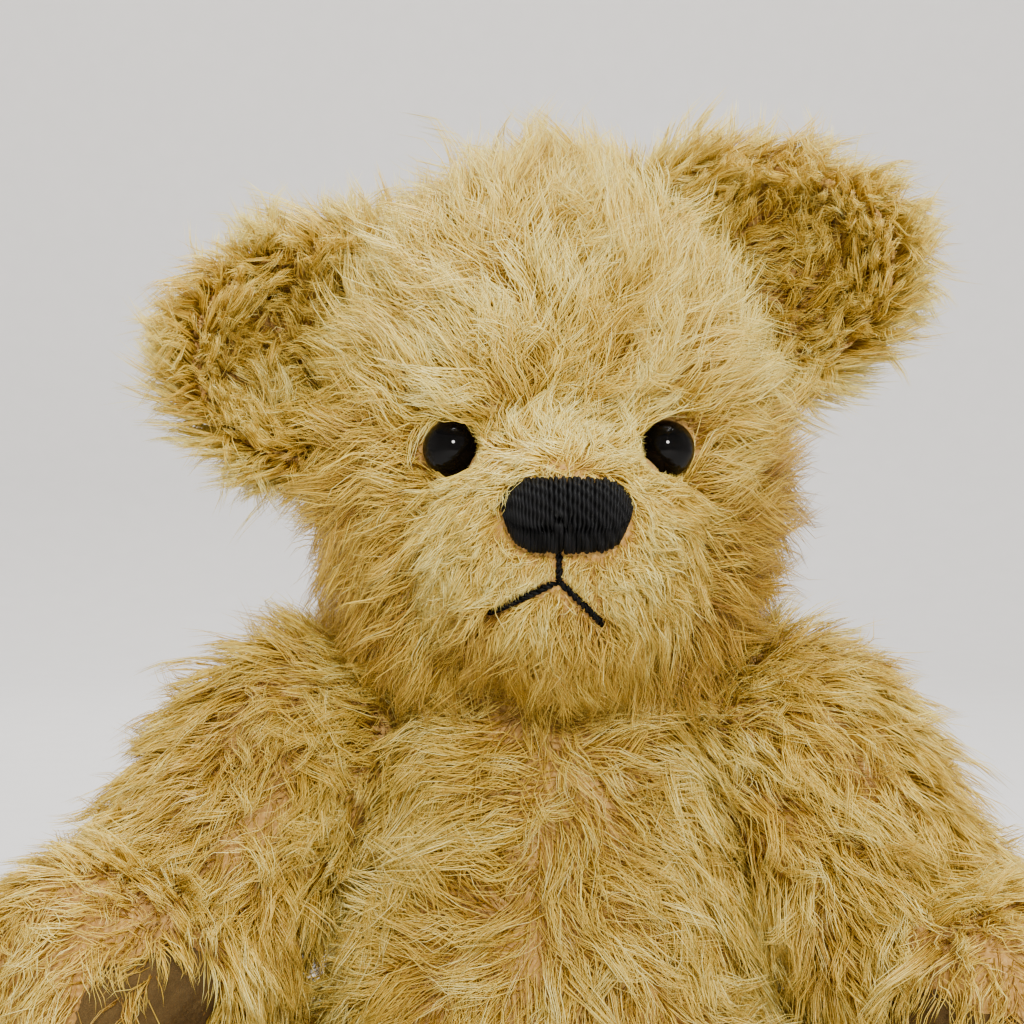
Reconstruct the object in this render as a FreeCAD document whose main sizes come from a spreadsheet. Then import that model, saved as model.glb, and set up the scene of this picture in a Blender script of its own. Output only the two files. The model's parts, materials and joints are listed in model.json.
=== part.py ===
"""A sitting, fully jointed mohair teddy bear, about 25 cm tall when it stands.

The bear faces -Y, its own left is +X and +Z is up. The origin is the middle of
the flat patch that it sits on, below the neck. Head, arms and legs each turn on
a bolt that clamps two hardboard discs through the cloth, and every part is a
shell of sewn cloth panels round firm stuffing.
"""

import FreeCAD, Part
import math
import os
import Sketcher

SHEET = "Dimensions"
REACH = 400.0  # mm, larger than the whole bear, for cutting boxes

DIMENSIONS = [
    ("cloth", 1.2, "backing cloth with its flattened pile"),
    ("joint_gap", 0.3, "between the two covers that meet at a joint"),
    ("torso_height", 91.0, "seat to neck"),
    ("belly_width", 62.0, "widest part of the torso"),
    ("belly_depth", 58.0, "front to back of the torso"),
    ("head_width", 66.0, "across the cheeks"),
    ("head_depth", 66.0, "skull without the muzzle"),
    ("head_tall", 88.0, "skull, before the neck is cut flat"),
    ("head_middle", 121.5, "height of the skull's centre above the seat"),
    ("muzzle_width", 34.0, "across the muzzle"),
    ("muzzle_tall", 34.0, "top to bottom of the muzzle"),
    ("muzzle_length", 40.0, "whole length of the muzzle's ellipsoid"),
    ("muzzle_middle", 110.4, "height of the muzzle's centre above the seat"),
    ("muzzle_forward", 26.0, "muzzle's centre ahead of the neck"),
    ("gusset_width", 22.0, "strip of cloth over the middle of the head"),
    ("head_turn", 2.0, "degrees that the head is turned to the bear's left"),
    ("eye_size", 8.0, "diameter of a glass eye"),
    ("eye_spacing", 29.6, "between the eyes' centres"),
    ("eye_level", 122.7, "height of the eyes above the seat"),
    ("nose_width", 16.0, "stitched nose, side to side"),
    ("nose_tall", 9.4, "stitched nose, top to bottom"),
    ("nose_level", 113.6, "height of the nose above the seat"),
    ("mouth_drop", 3.6, "upright mouth stitch"),
    ("mouth_shift", 1.1, "mouth, to the bear's right of the nose's middle"),
    ("thread_width", 1.1, "mouth and seam thread"),
    ("ear_tall", 35.0, "ear, top to bottom"),
    ("ear_reach", 23.0, "ear's half width, from its middle to its rim"),
    ("ear_cup", 25.0, "radius that the ear is cupped to"),
    ("shoulder_level", 71.0, "height of the shoulder bolts above the seat"),
    ("shoulder_recess", 38.0, "diameter of the torso's flat at a shoulder"),
    ("hip_recess", 38.0, "diameter of the torso's flat at a hip"),
    ("shoulder_half", 22.0, "shoulder joint from the middle plane"),
    ("shoulder_tilt", 25.0, "degrees that a shoulder bolt rises outwards"),
    ("shoulder_splay", 21.0, "degrees that the arms point apart"),
    ("arm_width", 31.0, "front to back of the upper arm"),
    ("arm_thick", 41.0, "inside to outside of the upper arm"),
    ("arm_flat", 6.5, "depth of the flat where the arm meets the torso"),
    ("arm_upper", 27.0, "shoulder bolt to the start of the bend"),
    ("arm_bend", 55.0, "degrees that the arm bends forwards"),
    ("arm_bend_radius", 24.0, "radius of the arm's bend"),
    ("arm_fore", 21.0, "end of the bend to the paw's tip"),
    ("hip_level", 18.4, "height of the hip bolts above the seat"),
    ("hip_half", 25.6, "hip joint from the middle plane"),
    ("hip_splay", 8.0, "degrees that each leg points outwards"),
    ("leg_width", 35.4, "top to bottom of the thigh"),
    ("leg_thick", 33.0, "inside to outside of the thigh"),
    ("leg_flat", 5.0, "depth of the flat where the leg meets the torso"),
    ("leg_reach", 96.0, "hip bolt to the sole"),
    ("foot_tall", 43.0, "heel to toe"),
    ("neck_disc", 21.0, "diameter of the neck discs"),
    ("shoulder_disc", 18.0, "diameter of the shoulder discs"),
    ("hip_disc", 20.0, "diameter of the hip discs"),
    ("disc_thick", 2.5, "hardboard"),
    ("washer_size", 12.0, "diameter of a washer"),
    ("washer_thick", 0.8, "steel washer"),
    ("bolt_size", 4.0, "joint bolt's diameter"),
    ("nut_width", 7.0, "across the flats of the nuts and bolt heads"),
    ("nut_thick", 3.2, "locknut"),
    ("bolt_head", 2.8, "thickness of a bolt's head"),
    ("running_fit", 0.05, "clearance where a bolt or nut turns"),
    ("bolt_end", 1.2, "bolt past its nut"),
    ("nut_room", 1.6, "free length past a nut, in the torso"),
    ("shank_wire", 1.2, "diameter of the eye's wire shank"),
    ("shank_length", 9.0, "eye's middle to its loop"),
    ("palm_long", 22.0, "paw pad, along the paw"),
    ("palm_wide", 17.0, "paw pad, across the paw"),
    ("nose_raise", 2.2, "nose thread above the cloth"),
    ("mouth_raise", 0.7, "mouth thread above the cloth"),
]

doc = FreeCAD.newDocument("jointed_bear")
sheet = doc.addObject("Spreadsheet::Sheet", SHEET)
for row, (alias, number, note) in enumerate(DIMENSIONS, start=1):
    sheet.set(f"A{row}", alias)
    sheet.set(f"B{row}", str(number))
    sheet.setAlias(f"B{row}", alias)
    sheet.set(f"C{row}", note)
doc.recompute()

parts = []


def size(alias):
    """The sheet's value of one driving dimension."""
    return float(sheet.get(alias))


def cell(alias):
    """A driving dimension as it is written in an expression."""
    return f"{SHEET}.{alias}"


def vector(x, y, z):
    return FreeCAD.Vector(x, y, z)


# ---------------------------------------------------------------- small tools


def bind(thing, **sizes):
    """Tie properties of a document object to expressions on the sheet."""
    for name, expression in sizes.items():
        thing.setExpression(name, expression)
    return thing


def at(thing, x="0", y="0", z="0"):
    """Tie an object's position to expressions on the sheet."""
    for axis, expression in zip("xyz", (x, y, z)):
        thing.setExpression(f".Placement.Base.{axis}", expression)
    return thing


def ellipsoid(name, width, depth, tall):
    """An ellipsoid of whole sizes along X, Y and Z."""
    thing = doc.addObject("Part::Ellipsoid", name)
    return bind(thing, Radius2=f"({width}) / 2", Radius3=f"({depth}) / 2", Radius1=f"({tall}) / 2")


def cylinder(name, diameter, length):
    thing = doc.addObject("Part::Cylinder", name)
    return bind(thing, Radius=f"({diameter}) / 2", Height=length)


def box(name, corner, spans):
    thing = doc.addObject("Part::Box", name)
    thing.Length, thing.Width, thing.Height = spans
    thing.Placement.Base = vector(*corner)
    return thing


def half_space(name, direction, level):
    """A large box that fills the local space past one level on X, Y or Z."""
    axis = "XYZ".index(direction[1])
    corner = [-REACH / 2, -REACH / 2, -REACH / 2]
    corner[axis] = 0.0 if direction[0] == "+" else -REACH
    thing = box(name, corner, (REACH, REACH, REACH))
    letter = "xyz"[axis]
    offset = "" if direction[0] == "+" else f" - {REACH}"
    thing.setExpression(f".Placement.Base.{letter}", f"({level}){offset}")
    return thing


def fuse(name, *shapes):
    thing = doc.addObject("Part::MultiFuse", name)
    thing.Shapes = list(shapes)
    return thing


def common(name, *shapes):
    thing = doc.addObject("Part::MultiCommon", name)
    thing.Shapes = list(shapes)
    return thing


def cut(name, base, *tools):
    """The base without its tools."""
    thing = doc.addObject("Part::Cut", name)
    thing.Base = base
    thing.Tool = tools[0] if len(tools) == 1 else fuse(name + "_tools", *tools)
    return thing


def mirrored(name, source):
    """The same piece on the other side of the middle plane."""
    thing = doc.addObject("Part::Mirroring", name)
    thing.Source = source
    thing.Normal = vector(1, 0, 0)
    return thing


def group(name, *shapes):
    """Alike pieces that stay separate solids."""
    thing = doc.addObject("Part::Compound", name)
    thing.Links = list(shapes)
    return thing


def keep(thing, label, placement=None):
    """Name a finished sub-part and put it in its place."""
    thing.Label = label
    if placement is not None:
        thing.Placement = placement
    parts.append(thing)
    return thing


def frame_of(origin, outward, forward):
    """A placement whose local Z points outwards and whose local X points forwards."""
    side = outward.cross(forward)
    return FreeCAD.Placement(origin, FreeCAD.Rotation(forward, side, outward, "ZXY"))


def along(frame, distance):
    """The same frame, moved along its own Z."""
    return frame.multiply(FreeCAD.Placement(vector(0, 0, distance), FreeCAD.Rotation()))


def turned(frame, degrees):
    """The same frame, turned about its own Z."""
    return frame.multiply(FreeCAD.Placement(vector(0, 0, 0), FreeCAD.Rotation(vector(0, 0, 1), degrees)))


# ---------------------------------------------------------------- joint frames


def shoulder_frame(side):
    """Shoulder joint: Z out along the bolt, X forwards in the plane of the discs."""
    tilt = math.radians(size("shoulder_tilt"))
    splay = math.radians(size("shoulder_splay"))
    outward = vector(
        side * math.cos(tilt) * math.cos(splay),
        math.cos(tilt) * math.sin(splay),
        math.sin(tilt),
    )
    forward = vector(side * math.sin(splay), -math.cos(splay), 0)
    return frame_of(vector(side * size("shoulder_half"), 0, size("shoulder_level")), outward, forward)


def hip_frame(side):
    """Hip joint: Z out along the bolt, X forwards along the leg."""
    splay = math.radians(size("hip_splay"))
    outward = vector(side * math.cos(splay), math.sin(splay), 0)
    forward = vector(side * math.sin(splay), -math.cos(splay), 0)
    return frame_of(vector(side * size("hip_half"), 0, size("hip_level")), outward, forward)


neck_frame = frame_of(vector(0, 0, size("torso_height")), vector(0, 0, 1), vector(0, -1, 0))
head_frame = FreeCAD.Placement(vector(0, 0, 0), FreeCAD.Rotation(vector(0, 0, 1), size("head_turn")))
SIDES = {"left": 1, "right": -1}

# how far each arm is swung forwards from hanging, in degrees
ARM_SWING = {"left": 34.0, "right": 43.0}


# ---------------------------------------------------------------- joint hardware

GAP = f"{cell('joint_gap')} / 2"
INSIDE = f"({GAP} + {cell('cloth')})"


SKETCH_RADII = (9.0, 3.0)  # mm, before the sketch follows the sheet


def ring(name, diameter, hole, thick):
    """A flat disc with a centre hole, padded from a sketch of two circles."""
    body = doc.addObject("PartDesign::Body", name)
    base = [f for f in body.Origin.OriginFeatures if f.Role == "XY_Plane"][0]
    sketch = body.newObject("Sketcher::SketchObject", name + "_sketch")
    sketch.AttachmentSupport = [(base, "")]
    sketch.MapMode = "FlatFace"
    for index, (diameter_cell, start) in enumerate(zip((diameter, hole), SKETCH_RADII)):
        sketch.addGeometry(Part.Circle(vector(0, 0, 0), vector(0, 0, 1), start), False)
        sketch.addConstraint(Sketcher.Constraint("Coincident", index, 3, -1, 1))
        radius = sketch.addConstraint(Sketcher.Constraint("Radius", index, start))
        sketch.setExpression(f"Constraints[{radius}]", f"({diameter_cell}) / 2")
    pad = body.newObject("PartDesign::Pad", name + "_pad")
    pad.Profile = sketch
    pad.setExpression("Length", thick)
    sketch.Visibility = False
    return body


def hexagon(name, thick):
    """A hexagonal block of the nuts' width."""
    thing = doc.addObject("Part::Prism", name)
    thing.Polygon = 6
    return bind(thing, Circumradius=f"{cell('nut_width')} / 2 / cos(30 deg)", Height=thick)


def bolt(name):
    """A bolt whose head lies in the limb and whose end passes the nut by a thread or two."""
    head_at = f"{INSIDE} + {cell('disc_thick')} + {cell('washer_thick')}"
    shank_in_torso = f"({head_at} + {cell('nut_thick')} + {cell('bolt_end')})"
    shank = cylinder(name + "_shank", cell("bolt_size"), f"{shank_in_torso} + {head_at}")
    at(shank, z=f"-{shank_in_torso}")
    head = at(hexagon(name + "_head", cell("bolt_head")), z=head_at)
    return fuse(name, shank, head)


def locknut(name):
    block = hexagon(name + "_block", cell("nut_thick"))
    return cut(name, block, cylinder(name + "_hole", cell("bolt_size"), cell("nut_thick")))


def moving_hardware(prefix, disc, frame):
    """The disc, washer, bolt and locknut that turn with the head or a limb."""
    inside = size("joint_gap") / 2 + size("cloth")
    washer_at = inside + size("disc_thick")
    nut_at = washer_at + size("washer_thick") + size("running_fit") + size("nut_thick")
    keep(ring(prefix + "_disc", cell(disc), cell("bolt_size"), cell("disc_thick")),
         prefix + "_disc", along(frame, inside))
    keep(ring(prefix + "_washer", cell("washer_size"), cell("bolt_size"), cell("washer_thick")),
         prefix + "_washer", along(frame, washer_at))
    keep(bolt(prefix + "_bolt"), prefix + "_bolt", frame)
    keep(locknut(prefix + "_locknut"), prefix + "_locknut", along(frame, -nut_at))


def limb_pocket(name, disc):
    """The room that a joint's disc, washer and bolt head take up in the stuffing."""
    washer_at = f"{INSIDE} + {cell('disc_thick')}"
    head_at = f"{washer_at} + {cell('washer_thick')}"
    room = cylinder(name + "_disc_room", cell(disc), f"{cell('disc_thick')} + {cell('cloth')}")
    at(room, z=f"{INSIDE} - {cell('cloth')}")
    washer_room = at(cylinder(name + "_washer_room", cell("washer_size"), cell("washer_thick")), z=washer_at)
    head_room = cylinder(name + "_head_room", f"{cell('nut_width')} / cos(30 deg)", cell("bolt_head"))
    at(head_room, z=head_at)
    return fuse(name, room, washer_room, head_room)


def torso_pocket(name, disc, frame):
    """The room that a joint's torso disc, washer and turning nut take up in the torso."""
    disc_end = f"{INSIDE} + {cell('disc_thick')}"
    washer_end = f"{disc_end} + {cell('washer_thick')}"
    nut_room = f"{cell('nut_width')} / cos(30 deg) + 1"
    deep = f"{cell('nut_thick')} + {cell('nut_room')}"
    room = cylinder(name + "_disc_room", cell(disc), f"{cell('disc_thick')} + {cell('cloth')}")
    at(room, z=f"-({disc_end})")
    washer_room = cylinder(name + "_washer_room", cell("washer_size"), cell("washer_thick"))
    at(washer_room, z=f"-({washer_end})")
    end_room = at(cylinder(name + "_nut_room", nut_room, deep), z=f"-({washer_end} + {deep})")
    pocket = fuse(name, room, washer_room, end_room)
    pocket.Placement = frame
    return pocket


BOLT_HOLE = f"{cell('bolt_size')} + 2 * {cell('running_fit')}"

torso_joints = {
    "neck": (neck_frame, "neck_disc"),
    "shoulder_left": (shoulder_frame(1), "shoulder_disc"),
    "shoulder_right": (shoulder_frame(-1), "shoulder_disc"),
    "hip_left": (hip_frame(1), "hip_disc"),
    "hip_right": (hip_frame(-1), "hip_disc"),
}


# ---------------------------------------------------------------- lofted covers


def section(name, width, thick, inset):
    """An ellipse: width is its long axis, thick its short one, both drawn in by the inset."""
    thing = doc.addObject("Part::Ellipse", name)
    return bind(
        thing,
        MajorRadius=f"({width}) / 2 - {inset}",
        MinorRadius=f"({thick}) / 2 - {inset}",
    )


def loft(name, sections):
    thing = doc.addObject("Part::Loft", name)
    thing.Sections = sections
    thing.Solid = True
    return thing


# each torso level: its share of the height, of the belly's width and of its depth
TORSO_LEVELS = [
    (0.0, 0.66, 0.64),
    (0.035, 0.83, 0.81),
    (0.11, 0.95, 0.94),
    (0.25, 1.0, 1.0),
    (0.45, 1.0, 1.0),
    (0.64, 0.935, 0.91),
    (0.80, 0.86, 0.82),
    (0.92, 0.71, 0.69),
    (1.0, 0.56, 0.56),
]


def torso_form(name, inset):
    """The pear-shaped torso, flat at the seat and at the neck."""
    sections = []
    for index, (level, wide, deep) in enumerate(TORSO_LEVELS):
        ellipse = section(
            f"{name}_level_{index}",
            f"{wide} * {cell('belly_width')}",
            f"{deep} * {cell('belly_depth')}",
            inset,
        )
        low = f"({inset})"
        span = f"({cell('torso_height')} - {GAP} - 2 * {inset})"
        sections.append(at(ellipse, z=f"{low} + {level} * {span}"))
    return loft(name, sections)


def joint_recess(name, diameter, frame, level):
    """A round cutter that flattens the torso where a limb lies against it."""
    thing = cylinder(name, diameter, f"{cell('belly_width')} / 2")
    thing.Placement = along(frame, level)
    return thing


def torso_recesses(name, level, grow):
    return [
        joint_recess(f"{name}_{joint}", f"{cell(width)} + {2 * grow}", torso_joints[joint][0], level)
        for joint, width in (
            ("shoulder_left", "shoulder_recess"),
            ("shoulder_right", "shoulder_recess"),
            ("hip_left", "hip_recess"),
            ("hip_right", "hip_recess"),
        )
    ]


RECESS_ROOM = 1.0  # mm of room round a limb's rounded end
HOLE_LENGTH = 12.0  # mm, a bolt hole's cutter through the cloth


def build_torso():
    """Two cloth halves with seams down the front and back, stuffing and the fixed discs."""
    gap = size("joint_gap") / 2
    cloth = size("cloth")
    outer = cut("torso_outer", torso_form("torso_form", "0"), *torso_recesses("recess", -gap, RECESS_ROOM))
    inner = cut(
        "torso_inner",
        torso_form("torso_core", cell("cloth")),
        *torso_recesses("core_recess", -gap - cloth, RECESS_ROOM + cloth),
    )
    holes = []
    for joint, (frame, _) in torso_joints.items():
        hole = cylinder("hole_" + joint, BOLT_HOLE, str(HOLE_LENGTH))
        hole.Placement = along(frame, -HOLE_LENGTH / 2)
        holes.append(hole)
    skin = cut("torso_skin", outer, inner, *holes)
    right_half = keep(common("torso_cloth", skin, half_space("torso_side", "-X", "0")), "torso_right_panel")
    keep(mirrored("torso_cloth_mirrored", right_half), "torso_left_panel")
    pockets = []
    for joint, (frame, disc) in torso_joints.items():
        pockets.append(torso_pocket("pocket_" + joint, disc, frame))
    keep(cut("torso_fill", inner, *pockets), "torso_stuffing")
    disc_at = -(gap + cloth + size("disc_thick"))
    washer_at = disc_at - size("washer_thick")
    discs = {}
    washers = []
    for joint, (frame, disc) in torso_joints.items():
        plate = ring("fixed_disc_" + joint, cell(disc), BOLT_HOLE, cell("disc_thick"))
        plate.Placement = along(frame, disc_at)
        discs[joint] = plate
        washer = ring("fixed_washer_" + joint, cell("washer_size"), BOLT_HOLE, cell("washer_thick"))
        washer.Placement = along(frame, washer_at)
        washers.append(washer)
    keep(discs["neck"], "torso_neck_disc")
    keep(group("shoulder_plates", discs["shoulder_left"], discs["shoulder_right"]), "torso_shoulder_discs")
    keep(group("hip_plates", discs["hip_left"], discs["hip_right"]), "torso_hip_discs")
    keep(group("fixed_washers", *washers), "torso_washers")
    keep(back_stitches(outer), "back_closing_stitches")


STITCHES = 9
STITCH_LENGTH = 3.2  # mm across the seam
STITCH_PITCH = 4.2  # mm from one stitch to the next
STITCH_RAISE = 0.4  # mm that each stitch stands proud of the seam
SEAM_MIDDLE = 0.42  # share of the torso's height


def back_stitches(outer):
    """Short ladder stitches that close the seam in the middle of the back."""
    bars = []
    for index in range(STITCHES):
        bar = cylinder(f"stitch_{index}", f"{cell('thread_width')} * 0.8", str(STITCH_LENGTH))
        height = SEAM_MIDDLE * size("torso_height") + (index - (STITCHES - 1) / 2) * STITCH_PITCH
        turn = FreeCAD.Rotation(vector(0, 1, 0), 90)
        depth = 0.5 * size("belly_depth") * back_bulge(height / size("torso_height")) + STITCH_RAISE
        bar.Placement = FreeCAD.Placement(vector(-STITCH_LENGTH / 2, depth, height), turn)
        bars.append(bar)
    return cut("closing_thread", group("stitch_bars", *bars), outer)


def back_bulge(share):
    """The torso's depth at a share of its height, between its levels, as a share of the belly's."""
    for (low, _, deep_low), (high, _, deep_high) in zip(TORSO_LEVELS, TORSO_LEVELS[1:]):
        if low <= share <= high:
            return deep_low + (deep_high - deep_low) * (share - low) / (high - low) + 0.002
    return 0.0


# ---------------------------------------------------------------- arms

# arm stations: which stretch, how far along it, share of the width, share of the thickness
ARM_STATIONS = [
    ("cap", 1.0, 0.30, 0.30),
    ("cap", 0.88, 0.58, 0.58),
    ("cap", 0.55, 0.85, 0.84),
    ("upper", 0.0, 0.98, 0.98),
    ("upper", 0.5, 1.0, 0.98),
    ("upper", 1.0, 0.96, 0.90),
    ("bend", 0.5, 0.90, 0.79),
    ("bend", 1.0, 0.84, 0.71),
    ("fore", 0.50, 0.82, 0.69),
    ("fore", 0.82, 0.62, 0.52),
    ("fore", 1.0, 0.28, 0.24),
]
SHOULDER_CAP = 14.0  # mm from the bolt to the top of the shoulder
ARM_MIDDLE = f"{cell('arm_thick')} / 2 - {cell('arm_flat')}"  # outwards from the joint
PALM_PLACE = 0.42  # share of the forearm where the paw pad's middle lies
PALM_SET_BACK = 4.0  # mm that the pad's cutter starts below the arm's inner face


def arm_point(stretch, share, inset):
    """Forward and downward distance of a station, and how far the arm has bent there."""
    bend = math.radians(size("arm_bend"))
    radius = size("arm_bend_radius")
    upper = size("arm_upper")
    if stretch == "cap":
        return 0.0, -(SHOULDER_CAP - inset) * share, 0.0
    if stretch == "upper":
        return 0.0, upper * share, 0.0
    if stretch == "bend":
        angle = bend * share
        return radius * (1 - math.cos(angle)), upper + radius * math.sin(angle), angle
    reach = (size("arm_fore") - inset) * share
    forward = radius * (1 - math.cos(bend)) + reach * math.sin(bend)
    down = upper + radius * math.sin(bend) + reach * math.cos(bend)
    return forward, down, bend


def arm_form(name, side, inset):
    """The whole arm as one smooth solid, in the shoulder's frame, hanging down."""
    inset_mm = size("cloth") if inset != "0" else 0.0
    sections = []
    for index, (stretch, share, wide, thick) in enumerate(ARM_STATIONS):
        forward, down, angle = arm_point(stretch, share, inset_mm)
        ellipse = section(
            f"{name}_{index}", f"{thick} * {cell('arm_thick')}", f"{wide} * {cell('arm_width')}", inset
        )
        heading = math.degrees(math.atan2(math.sin(angle), -side * math.cos(angle)))
        stand_up = FreeCAD.Rotation(vector(1, 0, 0), 90).multiply(FreeCAD.Rotation(vector(0, 0, 1), 90))
        turn = FreeCAD.Rotation(vector(0, 0, 1), heading).multiply(stand_up)
        ellipse.Placement = FreeCAD.Placement(vector(forward, side * down, 0), turn)
        ellipse.setExpression(".Placement.Base.z", ARM_MIDDLE)
        sections.append(ellipse)
    return loft(name, sections)


def build_arm(word, side):
    frame = turned(shoulder_frame(side), -side * ARM_SWING[word])
    prefix = f"arm_{word}"
    whole = arm_form(prefix + "_form", side, "0")
    filling = arm_form(prefix + "_core_form", side, cell("cloth"))
    outer = common(prefix + "_outer", whole, half_space(prefix + "_face", "+Z", GAP))
    inner = common(prefix + "_core", filling, half_space(prefix + "_wall", "+Z", INSIDE))
    hole = cylinder(prefix + "_hole", cell("bolt_size"), f"3 * {cell('cloth')}")
    skin = cut(prefix + "_skin", outer, inner, hole)
    palm_forward, palm_down, bend = arm_point("fore", PALM_PLACE, 0.0)
    palm = doc.addObject("Part::Ellipse", prefix + "_palm")
    bind(palm, MajorRadius=f"{cell('palm_long')} / 2", MinorRadius=f"{cell('palm_wide')} / 2")
    heading = math.degrees(math.atan2(side * math.cos(bend), math.sin(bend)))
    palm.Placement = FreeCAD.Placement(
        vector(palm_forward, side * palm_down, -PALM_SET_BACK),
        FreeCAD.Rotation(vector(0, 0, 1), heading),
    )
    palm_block = doc.addObject("Part::Extrusion", prefix + "_palm_block")
    palm_block.Base = palm
    palm_block.Dir = vector(0, 0, 1)
    palm_block.Solid = True
    palm_block.setExpression("LengthFwd", f"{cell('arm_thick')} / 2 + 1")
    outside = common(prefix + "_outside", skin, half_space(prefix + "_outer_half", "+Z", ARM_MIDDLE))
    inside = common(prefix + "_inside", skin, half_space(prefix + "_inner_half", "-Z", ARM_MIDDLE))
    keep(outside, prefix + "_outer_panel", frame)
    keep(cut(prefix + "_inside_cloth", inside, palm_block), prefix + "_inner_panel", frame)
    keep(common(prefix + "_pad", inside, palm_block), f"paw_pad_{word}", frame)
    pocket = limb_pocket(prefix + "_pocket", "shoulder_disc")
    keep(cut(prefix + "_fill", inner, pocket), prefix + "_stuffing", frame)
    moving_hardware(prefix, "shoulder_disc", frame)


# ---------------------------------------------------------------- legs

# leg stations: share of the reach, middle above the bolt in mm, share of the width,
# share of the thickness; the foot's stations take their share of the foot instead
LEG_STATIONS = [
    (-0.180, 0.0, "leg", 0.28, 0.28),
    (-0.160, 0.0, "leg", 0.56, 0.58),
    (-0.095, 0.0, "leg", 0.88, 0.88),
    (0.02, 0.0, "leg", 1.0, 1.0),
    (0.26, -0.5, "leg", 0.96, 0.97),
    (0.52, -2.3, "leg", 0.87, 0.88),
    (0.70, -2.6, "leg", 0.86, 0.84),
    (0.83, 2.6, "foot", 0.94, 0.86),
    (0.93, 3.6, "foot", 1.0, 0.88),
    (0.985, 3.4, "foot", 0.93, 0.80),
    (1.0, 3.2, "foot", 0.80, 0.66),
]
LEG_MIDDLE = f"{cell('leg_thick')} / 2 - {cell('leg_flat')}"  # outwards from the joint
SOLE_INSET = 4.0  # mm that the foot pad's cutter starts inside the sole


def leg_form(name, side, inset):
    """The whole leg as one smooth solid, in the hip's frame, pointing forwards."""
    inset_mm = size("cloth") if inset != "0" else 0.0
    last = len(LEG_STATIONS) - 1
    sections = []
    for index, (share, rise, kind, wide, thick) in enumerate(LEG_STATIONS):
        width = cell("leg_width") if kind == "leg" else cell("foot_tall")
        ellipse = section(f"{name}_{index}", f"{wide} * {width}", f"{thick} * {cell('leg_thick')}", inset)
        forward = size("leg_reach") * share
        if index in (0, last):
            forward += inset_mm * (1 if index == 0 else -1)
        turn = FreeCAD.Rotation(vector(0, 0, 1), 90).multiply(FreeCAD.Rotation(vector(1, 0, 0), 90))
        ellipse.Placement = FreeCAD.Placement(vector(forward, -side * rise, 0), turn)
        ellipse.setExpression(".Placement.Base.z", LEG_MIDDLE)
        sections.append(ellipse)
    return loft(name, sections)


def build_leg(word, side):
    frame = hip_frame(side)
    prefix = f"leg_{word}"
    whole = leg_form(prefix + "_form", side, "0")
    filling = leg_form(prefix + "_core_form", side, cell("cloth"))
    outer = common(prefix + "_outer", whole, half_space(prefix + "_face", "+Z", GAP))
    inner = common(prefix + "_core", filling, half_space(prefix + "_wall", "+Z", INSIDE))
    hole = cylinder(prefix + "_hole", cell("bolt_size"), f"3 * {cell('cloth')}")
    skin = cut(prefix + "_skin", outer, inner, hole)
    sole = doc.addObject("Part::Ellipse", prefix + "_sole")
    bind(sole, MajorRadius=f"0.40 * {cell('foot_tall')}", MinorRadius=f"0.33 * {cell('leg_thick')}")
    turn = FreeCAD.Rotation(vector(0, 0, 1), 90).multiply(FreeCAD.Rotation(vector(1, 0, 0), 90))
    sole.Placement = FreeCAD.Placement(vector(0, -side * LEG_STATIONS[-1][1], 0), turn)
    sole.setExpression(".Placement.Base.x", f"{cell('leg_reach')} - {SOLE_INSET}")
    sole.setExpression(".Placement.Base.z", LEG_MIDDLE)
    sole_block = doc.addObject("Part::Extrusion", prefix + "_sole_block")
    sole_block.Base = sole
    sole_block.Dir = vector(1, 0, 0)
    sole_block.LengthFwd = 2.5 * SOLE_INSET
    sole_block.Solid = True
    cover = cut(prefix + "_cover", skin, sole_block)
    outside = common(prefix + "_outside", cover, half_space(prefix + "_outer_half", "+Z", LEG_MIDDLE))
    inside = common(prefix + "_inside", cover, half_space(prefix + "_inner_half", "-Z", LEG_MIDDLE))
    keep(outside, prefix + "_outer_panel", frame)
    keep(inside, prefix + "_inner_panel", frame)
    keep(common(prefix + "_pad", skin, sole_block), f"foot_pad_{word}", frame)
    pocket = limb_pocket(prefix + "_pocket", "hip_disc")
    keep(cut(prefix + "_fill", inner, pocket), prefix + "_stuffing", frame)
    moving_hardware(prefix, "hip_disc", frame)


# ---------------------------------------------------------------- head


SKULL_BACK_SET = 1.0  # mm that the skull's centre lies behind the neck


def skull_form(name, grow):
    thing = ellipsoid(
        name,
        f"{cell('head_width')} + 2 * ({grow})",
        f"{cell('head_depth')} + 2 * ({grow})",
        f"{cell('head_tall')} + 2 * ({grow})",
    )
    return at(thing, y=str(SKULL_BACK_SET), z=cell("head_middle"))


def muzzle_form(name, grow):
    thing = ellipsoid(
        name,
        f"{cell('muzzle_width')} + 2 * ({grow})",
        f"{cell('muzzle_length')} + 2 * ({grow})",
        f"{cell('muzzle_tall')} + 2 * ({grow})",
    )
    return at(thing, y=f"-{cell('muzzle_forward')}", z=cell("muzzle_middle"))


def head_form(name, grow, floor_level):
    """Skull and muzzle together, cut flat at the neck."""
    whole = fuse(name + "_whole", skull_form(name + "_skull", grow), muzzle_form(name + "_muzzle", grow))
    return cut(name, whole, half_space(name + "_neck", "-Z", floor_level))


# where each ear is sewn on and how it is turned: height of its middle above the
# seat, distance from the middle plane, tilt of its top outwards in degrees
EAR_SEAT = {
    "left": (149.5, 28.0, -8.0),
    "right": (137.5, 30.0, 3.0),
}
EAR_BACK_SET = 4.0  # mm that the ears sit behind the neck
EAR_BEHIND = 6.0  # mm that the outline's cutter starts behind an ear
EAR_DEEP = 24.0  # mm that the outline's cutter reaches forwards
EAR_CLOTH = 2.0  # mm, one layer with its pile, thicker than elsewhere so that the cup stands up


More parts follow.
